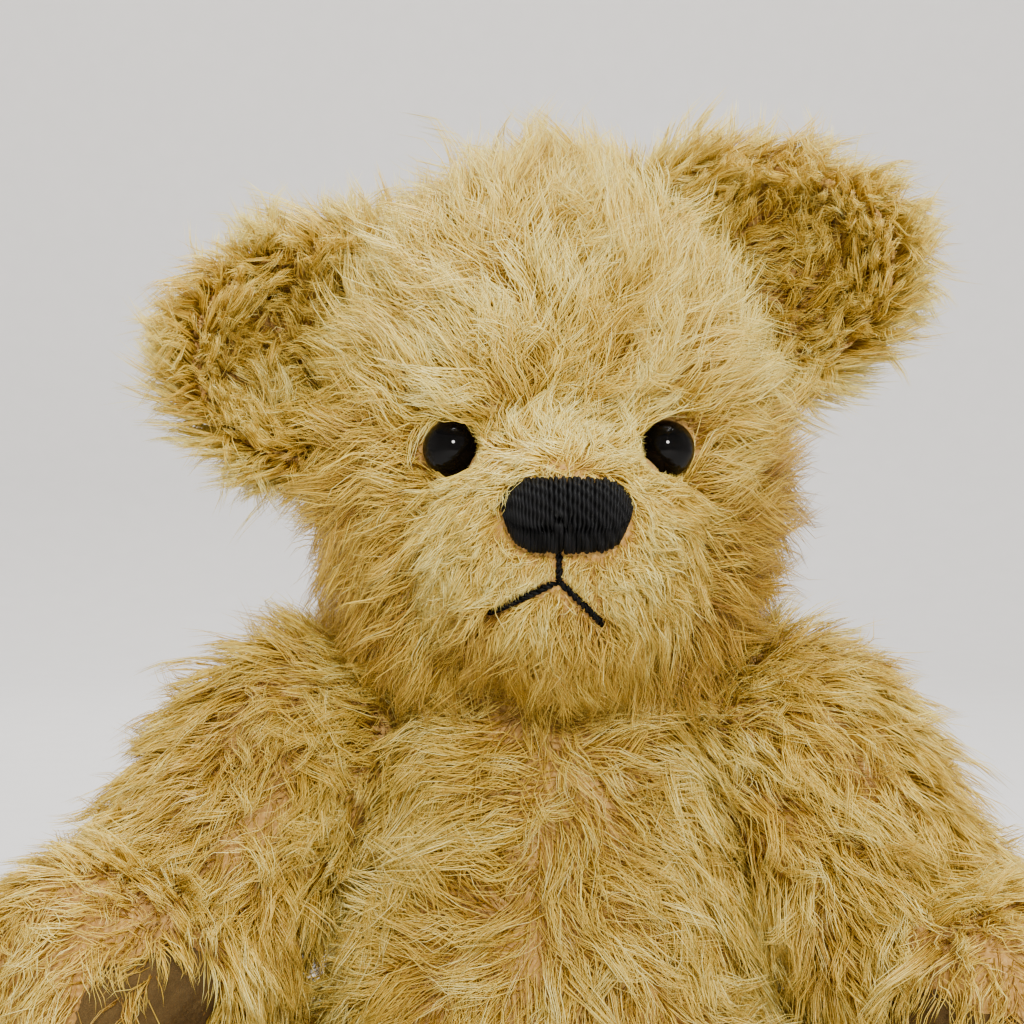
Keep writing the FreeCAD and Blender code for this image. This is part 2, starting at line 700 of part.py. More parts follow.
def ear_layer(name, seat, inner_radius, outer_radius, head):
    """One cupped layer of an ear, open towards the front, cut to the head's side."""
    level, out, tilt, side = seat
    cup_middle = vector(side * out, EAR_BACK_SET - size("ear_cup"), level)
    ball = ellipsoid(name + "_ball", *[f"2 * ({outer_radius})"] * 3)
    ball.Placement.Base = cup_middle
    hollow = ellipsoid(name + "_hollow", *[f"2 * ({inner_radius})"] * 3)
    hollow.Placement.Base = cup_middle
    outline = doc.addObject("Part::Ellipse", name + "_outline")
    bind(outline, MajorRadius=cell("ear_reach"), MinorRadius=f"{cell('ear_tall')} / 2")
    lay_upright = FreeCAD.Rotation(vector(1, 0, 0), 90)
    lean = FreeCAD.Rotation(vector(0, 1, 0), side * tilt)
    behind = vector(side * out, EAR_BACK_SET + EAR_BEHIND, level)
    outline.Placement = FreeCAD.Placement(behind, lean.multiply(lay_upright))
    block = doc.addObject("Part::Extrusion", name + "_block")
    block.Base = outline
    block.Dir = vector(0, -1, 0)
    block.LengthFwd = EAR_DEEP
    block.Solid = True
    return cut(name, common(name + "_cup", ball, block), hollow, head)


def build_ears(head):
    """Each ear is a front and a back piece of cloth sewn round the rim."""
    for word, side in SIDES.items():
        level, out, tilt = EAR_SEAT[word]
        seat = (level, out, tilt, side)
        cup = cell("ear_cup")
        front = ear_layer(f"ear_{word}_front_cloth", seat, f"{cup} - {EAR_CLOTH}", cup, head)
        back = ear_layer(f"ear_{word}_back_cloth", seat, cup, f"{cup} + {EAR_CLOTH}", head)
        keep(front, f"ear_{word}_front", head_frame)
        keep(back, f"ear_{word}_back", head_frame)


def skull_front(x, z):
    """How far ahead of the neck the skull's surface lies."""
    across = x / (size("head_width") / 2)
    upright = (z - size("head_middle")) / (size("head_tall") / 2)
    return size("head_depth") / 2 * math.sqrt(1 - across**2 - upright**2) - SKULL_BACK_SET


EYE_DEPTH = 0.85  # an eye's depth as a share of its width
EYE_SINK = 0.5  # mm that an eye's middle lies inside the skull
LOOP_RADII = (1.8, 0.55)  # mm, of the wire loop's middle line and of its wire


def build_eyes():
    """Glass eyes with their wire shanks; each eye sits in a shallow socket in the cloth."""
    eyes = []
    shanks = []
    spacing = size("eye_spacing") / 2
    level = size("eye_level")
    ahead = skull_front(spacing, level)
    for word, side in SIDES.items():
        across = cell("eye_size")
        eye = ellipsoid(f"eye_{word}_glass", across, f"{EYE_DEPTH} * {across}", across)
        spot = vector(side * spacing, -ahead + EYE_SINK, level)
        eye.Placement.Base = spot
        wire = cylinder(f"shank_{word}_wire", cell("shank_wire"), cell("shank_length"))
        wire.Placement = FreeCAD.Placement(spot, FreeCAD.Rotation(vector(1, 0, 0), -90))
        loop = doc.addObject("Part::Torus", f"shank_{word}_loop")
        loop.Radius1, loop.Radius2 = LOOP_RADII
        loop_at = spot + vector(0, size("shank_length") + LOOP_RADII[0] - LOOP_RADII[1], 0)
        loop.Placement = FreeCAD.Placement(loop_at, FreeCAD.Rotation(vector(0, 1, 0), 90))
        shank = cut(f"shank_{word}", fuse(f"shank_{word}_whole", wire, loop), eye)
        eyes.append(eye)
        shanks.append(shank)
    return eyes, shanks


FACE_CUT_BACK = -22.0  # mm, where the cutters of the nose and mouth end
FACE_CUT_LENGTH = 40.0  # mm, how far they reach ahead of that


def stadium(name, width, tall, level):
    """A block with round ends, as wide and tall as the nose, through the muzzle's front."""
    ends = []
    for index, sign in enumerate((-1, 1)):
        end = cylinder(f"{name}_end_{index}", tall, str(FACE_CUT_LENGTH))
        end.Placement.Rotation = FreeCAD.Rotation(vector(1, 0, 0), 90)
        ends.append(at(end, x=f"{sign} * ({width} - {tall}) / 2", y=str(FACE_CUT_BACK), z=level))
    middle = doc.addObject("Part::Box", name + "_middle")
    bind(middle, Length=f"{width} - {tall}", Width=str(FACE_CUT_LENGTH), Height=tall)
    front = FACE_CUT_BACK - FACE_CUT_LENGTH
    at(middle, x=f"-({width} - {tall}) / 2", y=str(front), z=f"{level} - {tall} / 2")
    return fuse(name, middle, *ends)


def mouth_bar(name, length, lean, top_level):
    """An upright bar of the thread's width, leaning about its top end."""
    bar = box(name, (0, 0, 0), (1, FACE_CUT_LENGTH, length))
    bind(bar, Length=cell("thread_width"))
    turn = FreeCAD.Rotation(vector(0, 1, 0), lean)
    corner = turn.multVec(vector(-size("thread_width") / 2, 0, -length))
    middle = -size("mouth_shift")
    front = FACE_CUT_BACK - FACE_CUT_LENGTH
    bar.Placement = FreeCAD.Placement(vector(middle + corner.x, front, top_level + corner.z), turn)
    return bar


# each slanting stitch: its length in mm and its angle from the upright one in degrees
MOUTH_BRANCH = {"left": (8.8, 43.0), "right": (10.0, 62.0)}


def build_face(head):
    """Satin-stitched nose and a mouth of three stitches, standing proud of the cloth."""
    nose_block = stadium("nose_block", cell("nose_width"), cell("nose_tall"), cell("nose_level"))
    nose_bulge = muzzle_form("nose_bulge", cell("nose_raise"))
    nose = cut("nose_thread", common("nose_common", nose_bulge, nose_block), head)
    keep(nose, "nose_stitching", head_frame)
    mouth_top = size("nose_level") - size("nose_tall") / 2 - 0.1
    fork = mouth_top - size("mouth_drop")
    bars = [mouth_bar("mouth_upright", size("mouth_drop"), 0, mouth_top)]
    for word, side in SIDES.items():
        length, lean = MOUTH_BRANCH[word]
        bars.append(mouth_bar(f"mouth_{word}", length, -side * lean, fork))
    layer = cut("mouth_layer", muzzle_form("mouth_bulge", cell("mouth_raise")), head)
    keep(common("mouth_thread", fuse("mouth_bars", *bars), layer), "mouth_stitching", head_frame)


def build_head():
    """Side panels and gusset, stuffing, ears, eyes, nose, mouth and the neck joint."""
    neck = f"{cell('torso_height')} + {GAP}"
    head = head_form("head_outer", "0", neck)
    core = head_form("head_core", f"-{cell('cloth')}", f"{neck} + {cell('cloth')}")
    eyes, shanks = build_eyes()
    gather = f"{cell('bolt_size')} + 2 * {cell('cloth')}"
    opening = at(cylinder("neck_opening", gather, cell("cloth")), z=neck)
    skin = cut("head_skin", head, core, opening, *eyes, *shanks)
    half_gusset = f"{cell('gusset_width')} / 2"
    left = half_space("head_left_side", "+X", half_gusset)
    right = half_space("head_right_side", "-X", f"-{half_gusset}")
    right_cloth = common("head_right_cloth", skin, right)
    left_cloth = mirrored("head_left_cloth", right_cloth)
    keep(group("head_right_placed", right_cloth), "head_right_panel", head_frame)
    keep(group("head_left_placed", left_cloth), "head_left_panel", head_frame)
    keep(cut("head_gusset_cloth", skin, left, right), "head_gusset", head_frame)
    pocket = limb_pocket("neck_pocket", "neck_disc")
    at(pocket, z=cell("torso_height"))
    keep(cut("head_fill", core, pocket, *eyes, *shanks), "head_stuffing", head_frame)
    for (word, _), eye in zip(SIDES.items(), eyes):
        keep(group(f"eye_{word}_placed", eye), f"eye_{word}", head_frame)
    keep(group("shanks", *shanks), "eye_shanks", head_frame)
    keep(
        ring("neck_gathering_thread", gather, cell("bolt_size"), cell("cloth")),
        "neck_gathering_thread",
        along(neck_frame, size("joint_gap") / 2),
    )
    build_ears(head)
    build_face(head)
    moving_hardware("neck", "neck_disc", neck_frame)


# ---------------------------------------------------------------- build and write

build_torso()
build_head()
for word, side in SIDES.items():
    build_arm(word, side)
    build_leg(word, side)
doc.recompute()

failed = [thing.Name for thing in doc.Objects if "Invalid" in thing.State or "Error" in thing.State]
if failed:
    raise RuntimeError("not built: " + ", ".join(failed))
os.makedirs("parts", exist_ok=True)
for thing in parts:
    shape = thing.Shape
    if shape.isNull() or not shape.isValid() or not shape.Solids:
        raise RuntimeError("bad shape: " + thing.Label)
    shape.exportStep(f"parts/{thing.Label}.step")
    print(f"{thing.Label:28s} {len(shape.Solids)} solids {shape.Volume:9.1f} mm3")
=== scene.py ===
import json
import math

import bmesh
import bpy
import numpy as np
from mathutils import Matrix, Vector
from mathutils.bvhtree import BVHTree
from mathutils.kdtree import KDTree


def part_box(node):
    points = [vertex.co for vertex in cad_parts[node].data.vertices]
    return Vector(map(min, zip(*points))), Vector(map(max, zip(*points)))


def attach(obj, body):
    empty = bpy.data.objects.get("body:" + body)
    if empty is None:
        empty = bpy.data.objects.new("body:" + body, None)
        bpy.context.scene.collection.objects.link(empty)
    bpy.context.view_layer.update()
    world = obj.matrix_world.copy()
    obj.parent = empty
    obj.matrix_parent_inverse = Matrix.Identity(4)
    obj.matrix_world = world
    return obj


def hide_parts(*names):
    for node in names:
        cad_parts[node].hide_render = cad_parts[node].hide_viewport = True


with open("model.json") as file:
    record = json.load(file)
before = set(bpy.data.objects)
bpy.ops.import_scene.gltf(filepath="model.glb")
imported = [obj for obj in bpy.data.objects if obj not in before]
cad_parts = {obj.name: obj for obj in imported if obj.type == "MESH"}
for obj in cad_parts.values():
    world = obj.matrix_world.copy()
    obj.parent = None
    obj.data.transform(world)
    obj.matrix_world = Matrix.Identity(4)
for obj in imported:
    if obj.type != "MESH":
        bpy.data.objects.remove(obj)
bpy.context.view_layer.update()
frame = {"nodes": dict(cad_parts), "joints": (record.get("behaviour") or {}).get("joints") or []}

# A seated mohair teddy bear. The frame is in metres; the pile is worked out in
# millimetres, because its sizes are easier to read that way.
MM = 0.001
SIDES = {"left": 1, "right": -1}
JOINTS = {joint["name"]: joint for joint in frame["joints"]}


def middle(node):
    """The middle of a CAD node's box."""
    low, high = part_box(node)
    return (Vector(low) + Vector(high)) / 2


def spans(node):
    """The three sides of a CAD node's box."""
    low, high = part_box(node)
    return Vector(high) - Vector(low)


# ---------- materials

WAVE_SCALE = 6.283 / 20  # a wave texture's scale when its bands are a metre apart


def node_material(name, colour, roughness):
    """A new material; returns it with its node tree's nodes, links and main shader."""
    material = bpy.data.materials.new(name)
    material.use_nodes = True
    shader = material.node_tree.nodes["Principled BSDF"]
    shader.inputs["Base Color"].default_value = (*colour, 1)
    shader.inputs["Roughness"].default_value = roughness
    return material, material.node_tree.nodes, material.node_tree.links, shader


def pattern(nodes, kind, **inputs):
    """A texture node with its inputs set by name."""
    texture = nodes.new(kind)
    for word, value in inputs.items():
        texture.inputs[word.replace("_", " ").title()].default_value = value
    return texture


def ramp(nodes, links, factor, *stops):
    """Colours laid along a factor: each stop is a place from 0 to 1 and a colour."""
    node = nodes.new("ShaderNodeValToRGB")
    while len(node.color_ramp.elements) < len(stops):
        node.color_ramp.elements.new(0.5)
    for element, (place, colour) in zip(node.color_ramp.elements, stops):
        element.position = place
        element.color = (*colour, 1)
    links.new(factor, node.inputs["Fac"])
    return node.outputs["Color"]


def colour_by(nodes, links, shader, factor, *stops):
    """Set the shader's colour from a factor."""
    links.new(ramp(nodes, links, factor, *stops), shader.inputs["Base Color"])


def bump(nodes, links, shader, height, strength, distance):
    """Raise the shaded surface by a height value."""
    node = nodes.new("ShaderNodeBump")
    node.inputs["Strength"].default_value = strength
    node.inputs["Distance"].default_value = distance
    links.new(height, node.inputs["Height"])
    links.new(node.outputs["Normal"], shader.inputs["Normal"])


def place(nodes):
    """Where the shaded point lies on its piece, in metres."""
    return nodes.new("ShaderNodeTexCoord").outputs["Object"]


def woven(name, light, dark, pitch, roughness):
    """Plain-woven cloth: two crossing sets of threads with uneven colour."""
    material, nodes, links, shader = node_material(name, light, roughness)
    where = place(nodes)
    threads = []
    for direction in ("X", "Z"):
        wave = pattern(nodes, "ShaderNodeTexWave", scale=WAVE_SCALE / pitch, distortion=1.2)
        wave.bands_direction = direction
        wave.inputs["Detail Scale"].default_value = 2.0
        links.new(where, wave.inputs["Vector"])
        threads.append(wave.outputs["Fac"])
    cross = nodes.new("ShaderNodeMath")
    cross.operation = "MULTIPLY"
    links.new(threads[0], cross.inputs[0])
    links.new(threads[1], cross.inputs[1])
    cloud = pattern(nodes, "ShaderNodeTexNoise", scale=90.0, detail=5.0)
    links.new(where, cloud.inputs["Vector"])
    sum_node = nodes.new("ShaderNodeMath")
    sum_node.operation = "MULTIPLY_ADD"
    sum_node.inputs[1].default_value = 0.55
    links.new(cross.outputs[0], sum_node.inputs[0])
    links.new(cloud.outputs["Fac"], sum_node.inputs[2])
    colour_by(nodes, links, shader, sum_node.outputs[0], (0.30, dark), (0.85, light))
    bump(nodes, links, shader, cross.outputs[0], 0.5, 0.0003)
    return material


def felt(name, light, dark):
    """Napped wool felt: matted fibres with soft worn patches."""
    material, nodes, links, shader = node_material(name, light, 0.95)
    where = place(nodes)
    patches = pattern(nodes, "ShaderNodeTexNoise", scale=140.0, detail=6.0, roughness=0.7)
    links.new(where, patches.inputs["Vector"])
    colour_by(nodes, links, shader, patches.outputs["Fac"], (0.33, dark), (0.68, light))
    fibres = pattern(nodes, "ShaderNodeTexNoise", scale=2600.0, detail=4.0, distortion=1.6)
    links.new(where, fibres.inputs["Vector"])
    bump(nodes, links, shader, fibres.outputs["Fac"], 0.8, 0.0004)
    shader.inputs["Specular IOR Level"].default_value = 0.2
    shader.inputs["Sheen Weight"].default_value = 0.12
    shader.inputs["Sheen Tint"].default_value = (0.75, 0.55, 0.30, 1)
    return material


def thread(name, light, dark, roughness):
    """Twisted thread: fine slanting plies."""
    material, nodes, links, shader = node_material(name, light, roughness)
    where = place(nodes)
    plies = pattern(nodes, "ShaderNodeTexWave", scale=260.0, distortion=2.5, detail=3.0)
    plies.bands_direction = "DIAGONAL"
    links.new(where, plies.inputs["Vector"])
    colour_by(nodes, links, shader, plies.outputs["Fac"], (0.1, dark), (0.9, light))
    bump(nodes, links, shader, plies.outputs["Fac"], 0.6, 0.0002)
    shader.inputs["Specular IOR Level"].default_value = 0.09
    return material


def black_glass():
    """Opaque black glass, a little brown where it thins towards the rim."""
    material, nodes, links, shader = node_material("black_glass", (0.004, 0.003, 0.003), 0.04)
    where = nodes.new("ShaderNodeTexCoord").outputs["Generated"]
    rings = nodes.new("ShaderNodeTexGradient")
    rings.gradient_type = "SPHERICAL"
    centre = nodes.new("ShaderNodeMapping")
    centre.inputs["Location"].default_value = (-0.5, 0.0, -0.5)
    centre.inputs["Scale"].default_value = (1.0, 0.0, 1.0)
    links.new(where, centre.inputs["Vector"])
    links.new(centre.outputs["Vector"], rings.inputs["Vector"])
    brown = (0.010, 0.005, 0.003)
    black = (0.0015, 0.0013, 0.0013)
    colour_by(nodes, links, shader, rings.outputs["Fac"], (0.50, brown), (0.60, black))
    shader.inputs["Specular IOR Level"].default_value = 0.14
    return material


def hardboard():
    """Pressed brown fibreboard with a fine fibre pattern."""
    material, nodes, links, shader = node_material("hardboard", (0.36, 0.23, 0.13), 0.6)
    fibres = pattern(nodes, "ShaderNodeTexNoise", scale=900.0, detail=6.0, distortion=0.8)
    links.new(place(nodes), fibres.inputs["Vector"])
    dark, light = (0.24, 0.14, 0.07), (0.46, 0.31, 0.18)
    colour_by(nodes, links, shader, fibres.outputs["Fac"], (0.35, dark), (0.7, light))
    bump(nodes, links, shader, fibres.outputs["Fac"], 0.3, 0.0002)
    return material


def zinc_steel():
    """Zinc-plated steel with fine scratches."""
    material, nodes, links, shader = node_material("zinc_steel", (0.62, 0.62, 0.64), 0.3)
    shader.inputs["Metallic"].default_value = 1.0
    scratches = pattern(nodes, "ShaderNodeTexNoise", scale=700.0, detail=5.0, distortion=0.5)
    links.new(place(nodes), scratches.inputs["Vector"])
    smooth, rough = (0.22, 0.22, 0.22), (0.42, 0.42, 0.42)
    grey = ramp(nodes, links, scratches.outputs["Fac"], (0.3, smooth), (0.7, rough))
    links.new(grey, shader.inputs["Roughness"])
    return material


# mohair tones, from the shaded root of the deepest strands to the tip of the palest
MOHAIR_TONES = [
    (0.22, 0.095, 0.005),
    (0.35, 0.170, 0.011),
    (0.50, 0.285, 0.024),
    (0.64, 0.405, 0.044),
    (0.77, 0.530, 0.070),
    (0.88, 0.670, 0.125),
    (0.96, 0.830, 0.270),
]
# the deeper tones at each strand's root are painted shade deep in the pile
TONE_STEPS = (0, 1, 2, 2)  # how many tones paler each length of a strand is than its root


def mohair_tones():
    """One glossy fibre material for each tone."""
    made = []
    for index, tone in enumerate(MOHAIR_TONES):
        material, _, _, shader = node_material(f"mohair_tone_{index}", tone, 0.31)
        shader.inputs["Specular IOR Level"].default_value = 0.8
        shader.inputs["Specular Tint"].default_value = (1.0, 0.90, 0.66, 1)
        made.append(material)
    return made


BACKING = woven("peach_backing", (0.55, 0.33, 0.09), (0.36, 0.18, 0.035), 0.0009, 0.9)
FELT = felt("pad_felt", (0.135, 0.082, 0.026), (0.070, 0.040, 0.011))
BLACK_THREAD = thread("black_thread", (0.0055, 0.0055, 0.006), (0.0012, 0.0012, 0.0012), 0.5)
GOLD_THREAD = thread("gold_thread", (0.50, 0.36, 0.16), (0.28, 0.18, 0.07), 0.6)
GLASS = black_glass()
BOARD = hardboard()
STEEL = zinc_steel()
MOHAIR = mohair_tones()


# ---------- mesh helpers


def new_piece(name, mesh, body, material_slot, *materials):
    """A shown piece that rides on a body and wears the given materials; the slot of the record is not used.
    """
    piece = bpy.data.objects.new(name, mesh)
    bpy.context.scene.collection.objects.link(piece)
    mesh.materials.clear()
    for material in materials:
        mesh.materials.append(material)
    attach(piece, body)
    return piece


def smooth_shaded(mesh):
    mesh.polygons.foreach_set("use_smooth", np.ones(len(mesh.polygons), bool))
    return mesh


def tube(name, line, radius, sides=8, tip=1.0):
    """A round thread along a line of points, its ends scaled by tip."""
    line = [Vector(point) for point in line]
    work = bmesh.new()
    rings = []
    for index, point in enumerate(line):
        ahead = line[min(index + 1, len(line) - 1)] - line[max(index - 1, 0)]
        turn = ahead.to_track_quat("Z", "Y")
        wide = radius * (tip if index in (0, len(line) - 1) else 1.0)
        ring = []
        for corner in range(sides):
            angle = 2 * math.pi * corner / sides
            offset = Vector((wide * math.cos(angle), wide * math.sin(angle), 0))
            ring.append(work.verts.new(point + turn @ offset))
        rings.append(ring)
    for ring, following in zip(rings, rings[1:]):
        for corner in range(sides):
            after = (corner + 1) % sides
            work.faces.new((ring[corner], ring[after], following[after], following[corner]))
    work.faces.new(tuple(reversed(rings[0])))
    work.faces.new(tuple(rings[-1]))
    mesh = bpy.data.meshes.new(name)
    work.to_mesh(mesh)
    work.free()
    return mesh


def joined(name, meshes):
    """Several meshes as one."""
    work = bmesh.new()
    for mesh in meshes:
        work.from_mesh(mesh)
    result = bpy.data.meshes.new(name)
    work.to_mesh(result)
    work.free()
    return result


def plug(joint, near, far):
    """A short cylinder that fills a body's bolt hole, between two distances along the joint's axis."""
    axis = Vector(JOINTS[joint]["axis"]).normalized()
    turn = axis.to_track_quat("Z", "Y").to_matrix().to_4x4()
    centre = Vector(JOINTS[joint]["pos_m"]) + axis * (near + far) / 2
    work = bmesh.new()
    matrix = Matrix.Translation(centre) @ turn
    bmesh.ops.create_cone(
        work, cap_ends=True, segments=16, radius1=PLUG_RADIUS, radius2=PLUG_RADIUS,
        depth=abs(far - near), matrix=matrix,
    )
    mesh = bpy.data.meshes.new("plug")
    work.to_mesh(mesh)
    work.free()
    return mesh


def with_modifiers(mesh, *settings):
    """The mesh with modifiers applied: each is a type and its settings."""
    work = bpy.data.objects.new("work", mesh)
    bpy.context.scene.collection.objects.link(work)
    for kind, values in settings:
        modifier = work.modifiers.new(kind.title(), kind)
        for word, value in values.items():
            setattr(modifier, word, value)
    bpy.context.view_layer.update()
    ready = work.evaluated_get(bpy.context.evaluated_depsgraph_get())
    result = bpy.data.meshes.new_from_object(ready)
    bpy.data.objects.remove(work)
    return result


def largest_part(mesh):
    """The mesh's biggest connected shell, without the closed hollows inside it."""
    work = bmesh.new()
    work.from_mesh(mesh)
    unseen = set(work.verts)
    best = []
    while unseen:
        start = unseen.pop()
        shell = [start]
        queue = [start]
        while queue:
            for edge in queue.pop().link_edges:
                for vertex in edge.verts:
                    if vertex in unseen:
                        unseen.discard(vertex)
                        shell.append(vertex)
                        queue.append(vertex)
        if len(shell) > len(best):
            best = shell
    keep = set(best)
    bmesh.ops.delete(work, geom=[vertex for vertex in work.verts if vertex not in keep], context="VERTS")
    work.to_mesh(mesh)
    work.free()
    return mesh


def ripple(points, seed, wavelength):
    """Smooth noise from about -1 to 1 at each point, from a few crossing waves."""
    maker = np.random.default_rng(seed)
    total = np.zeros(len(points))
    for _ in range(7):
        heading = maker.normal(size=3)
        heading *= 2 * math.pi / wavelength / np.linalg.norm(heading) * maker.uniform(0.6, 1.5)
        total += np.sin(points @ heading + maker.uniform(0, 2 * math.pi))
    return total / 3.0


def coordinates(mesh):
    """A mesh's points, as rows of three numbers."""
    flat = np.empty(len(mesh.vertices) * 3, np.float32)
    mesh.vertices.foreach_get("co", flat)
    return flat.reshape(-1, 3).astype(float)


def vertex_normals(mesh):
    """A mesh's normals at its points."""
    flat = np.empty(len(mesh.vertices) * 3, np.float32)
    mesh.vertices.foreach_get("normal", flat)
    return flat.reshape(-1, 3).astype(float)


def set_coordinates(mesh, points):
    """Move a mesh's points."""
    mesh.vertices.foreach_set("co", points.astype(np.float32).ravel())
    mesh.update()


# ---------- stuffed skins

SKIN_VOXEL = 0.0012
EAR_VOXEL = 0.0008
PAD_VOXEL = 0.0005
NOSE_VOXEL = 0.0004
PUFF = 0.0002  # height of the skins' gentle unevenness
PLUG_NEAR = 0.0002  # where the fill of a bolt hole starts and ends, from the joint's middle
PLUG_FAR = 0.012
PLUG_RADIUS = 0.004
SEAM_DEPTH = 0.0007
SEAM_HALF_WIDTH = 0.0009


def stuffed_skin(name, nodes, plugs, seams, seed):
    """One taut stuffed skin in the space of its CAD panels and stuffing, with sunk seams."""
    sources = [frame["nodes"][node].data for node in nodes]
    mesh = joined(name, sources + plugs)
    mesh = with_modifiers(
        mesh,
        ("REMESH", {"mode": "VOXEL", "voxel_size": SKIN_VOXEL}),
        ("SMOOTH", {"factor": 0.5, "iterations": 8}),
    )
    mesh = largest_part(mesh)
    points = coordinates(mesh)
    sink = np.zeros(len(points))
    for distance in seams:
        sink = np.maximum(sink, np.exp(-((distance(points) / SEAM_HALF_WIDTH) ** 2)))
    puff = PUFF * ripple(points / MM, seed, 14.0)
    points += vertex_normals(mesh) * (puff - SEAM_DEPTH * sink)[:, None]
    set_coordinates(mesh, points)
    return smooth_shaded(mesh)


def plane_distance(origin, normal, offset=0.0):
    """How far points are in front of a plane that is moved along its normal by the offset."""
    origin = np.array(origin)
    normal = np.array(normal) / np.linalg.norm(normal)
    return lambda points: (points - origin) @ normal - offset


def build_skins():
    """The torso, head and four limbs, each one skin."""
    skins = {}
    limb_joints = ("shoulder_left", "hip_left", "hip_right", "shoulder_right")
    hole_fill = [plug(joint, PLUG_NEAR, PLUG_FAR) for joint in limb_joints]
    hole_fill.append(plug("neck_swivel", -PLUG_NEAR, -PLUG_FAR))
    torso = stuffed_skin(
        "torso_skin",
        ("torso_left_panel", "torso_right_panel", "torso_stuffing"),
        hole_fill,
        [plane_distance((0, 0, 0), (1, 0, 0))],
        11,
    )
    skins["torso"] = new_piece("torso_skin", torso, "torso", "mohair_body", BACKING)
    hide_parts("torso_left_panel", "torso_right_panel", "torso_stuffing")
    gusset = spans("head_gusset").x / 2
    head = stuffed_skin(
        "head_skin",
        ("head_left_panel", "head_right_panel", "head_gusset", "head_stuffing"),
        [plug("neck_swivel", PLUG_NEAR, PLUG_FAR)],
        [plane_distance((gusset, 0, 0), (1, 0, 0)), plane_distance((-gusset, 0, 0), (1, 0, 0))],
        12,
    )
    skins["head"] = new_piece("head_skin", head, "head", "mohair_body", BACKING)
    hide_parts("head_left_panel", "head_right_panel", "head_gusset", "head_stuffing")
    for word in SIDES:
        for limb, joint, pad in (("arm", "shoulder", "paw_pad"), ("leg", "hip", "foot_pad")):
            name = f"{limb}_{word}"
            panels = (f"{name}_outer_panel", f"{name}_inner_panel", f"{name}_stuffing")
            axis = Vector(JOINTS[f"{joint}_{word}"]["axis"])
            outer = middle(f"{name}_outer_panel")
            offset = (middle(f"{name}_inner_panel") - outer).dot(axis) / 2
            mesh = stuffed_skin(
                f"{name}_skin",
                panels + (f"{pad}_{word}",),
                [plug(f"{joint}_{word}", -PLUG_NEAR, -PLUG_FAR)],
                [plane_distance(outer, axis, offset)],
                13 + len(skins),
            )
            skins[name] = new_piece(f"{name}_skin", mesh, name, "mohair_body", BACKING)
            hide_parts(*panels)
    return skins


def build_ear_skins():
    """Each ear's two layers as one soft cupped skin."""
    ears = {}
    for word in SIDES:
        nodes = (f"ear_{word}_front", f"ear_{word}_back")
        mesh = joined(f"ear_{word}_skin", [frame["nodes"][node].data for node in nodes])
        mesh = with_modifiers(
            mesh,
            ("REMESH", {"mode": "VOXEL", "voxel_size": EAR_VOXEL}),
            ("SMOOTH", {"factor": 0.5, "iterations": 10}),
        )
        mesh = smooth_shaded(largest_part(mesh))
        ears[word] = new_piece(f"ear_{word}_skin", mesh, "head", "mohair_ear", BACKING)
        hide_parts(*nodes)
    return ears


def build_pads():
    """Felt paw and foot pads with a napped, uneven face."""
    for word in SIDES:
        for node, body in ((f"paw_pad_{word}", f"arm_{word}"), (f"foot_pad_{word}", f"leg_{word}")):
            mesh = with_modifiers(
                frame["nodes"][node].data.copy(),
                ("REMESH", {"mode": "VOXEL", "voxel_size": PAD_VOXEL}),
                ("SMOOTH", {"factor": 0.5, "iterations": 4}),
            )
            points = coordinates(mesh)
            nap = 0.00035 + 0.00012 * ripple(points / MM, 21, 1.3) + 0.0002 * ripple(points / MM, 22, 7.0)
            set_coordinates(mesh, points + vertex_normals(mesh) * nap[:, None])
            pad = new_piece(f"{node}_felt", smooth_shaded(mesh), body, "felt_pad", FELT)
            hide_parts(node)


# ---------- mohair pile

SEGMENTS = 4  # lengths along a strand
CORNERS = 3  # sides of a strand
STRANDS_PER_PIECE = 8000
STRANDS_PER_LOCK = 13
FLOOR_GAP = 0.4  # mm kept between the pile and what the bear sits on
MIDDLE_TONE = 2.7  # a usual strand's first tone
PILE_RADIUS = (0.074, 0.072, 0.062, 0.044)  # mm at the root and along the strand; the tip is a point


def unit(vectors):
    """The vectors at unit length."""
    return vectors / np.maximum(np.linalg.norm(vectors, axis=-1, keepdims=True), 1e-9)


def soft_step(low, high, value):
    """From 0 at low to 1 at high, eased at both ends."""
    share = np.clip((value - low) / (high - low), 0.0, 1.0)
    return share * share * (3 - 2 * share)


def along_surface(vectors, normals):
    """The vectors with their part along the normals taken out, at unit length."""
    return unit(vectors - normals * np.sum(vectors * normals, axis=1)[:, None])


class Surface:
    """A skin's triangles in millimetres, for planting strands."""

    def __init__(self, skin):
        mesh = skin.data
        mesh.calc_loop_triangles()
        corners = np.empty(len(mesh.loop_triangles) * 3, np.int32)
        mesh.loop_triangles.foreach_get("vertices", corners)
        self.corners = corners.reshape(-1, 3)
        self.points = coordinates(mesh) / MM
        self.normals = vertex_normals(mesh)
        first, second, third = (self.points[self.corners[:, index]] for index in range(3))
        self.areas = np.linalg.norm(np.cross(second - first, third - first), axis=1) / 2
        self.middles = (first + second + third) / 3
        self.middle_normals = unit(self.normals[self.corners].sum(axis=1))

    def plant(self, count, chance, maker):
        """Random roots and their normals, denser where chance is higher."""
        odds = self.areas * chance(self.middles, self.middle_normals)
        picked = maker.choice(len(odds), count, p=odds / odds.sum())
        first = np.sqrt(maker.random(count))
        second = maker.random(count)
        shares = np.stack([1 - first, first * (1 - second), first * second], axis=1)[:, :, None]
        corners = self.corners[picked]
        normals = unit((self.normals[corners] * shares).sum(axis=1))
        return (self.points[corners] * shares).sum(axis=1), normals


def turned_about(vectors, axes, angles):
    """Vectors at right angles to their axes, turned about them."""
    return vectors * np.cos(angles)[:, None] + np.cross(axes, vectors) * np.sin(angles)[:, None]


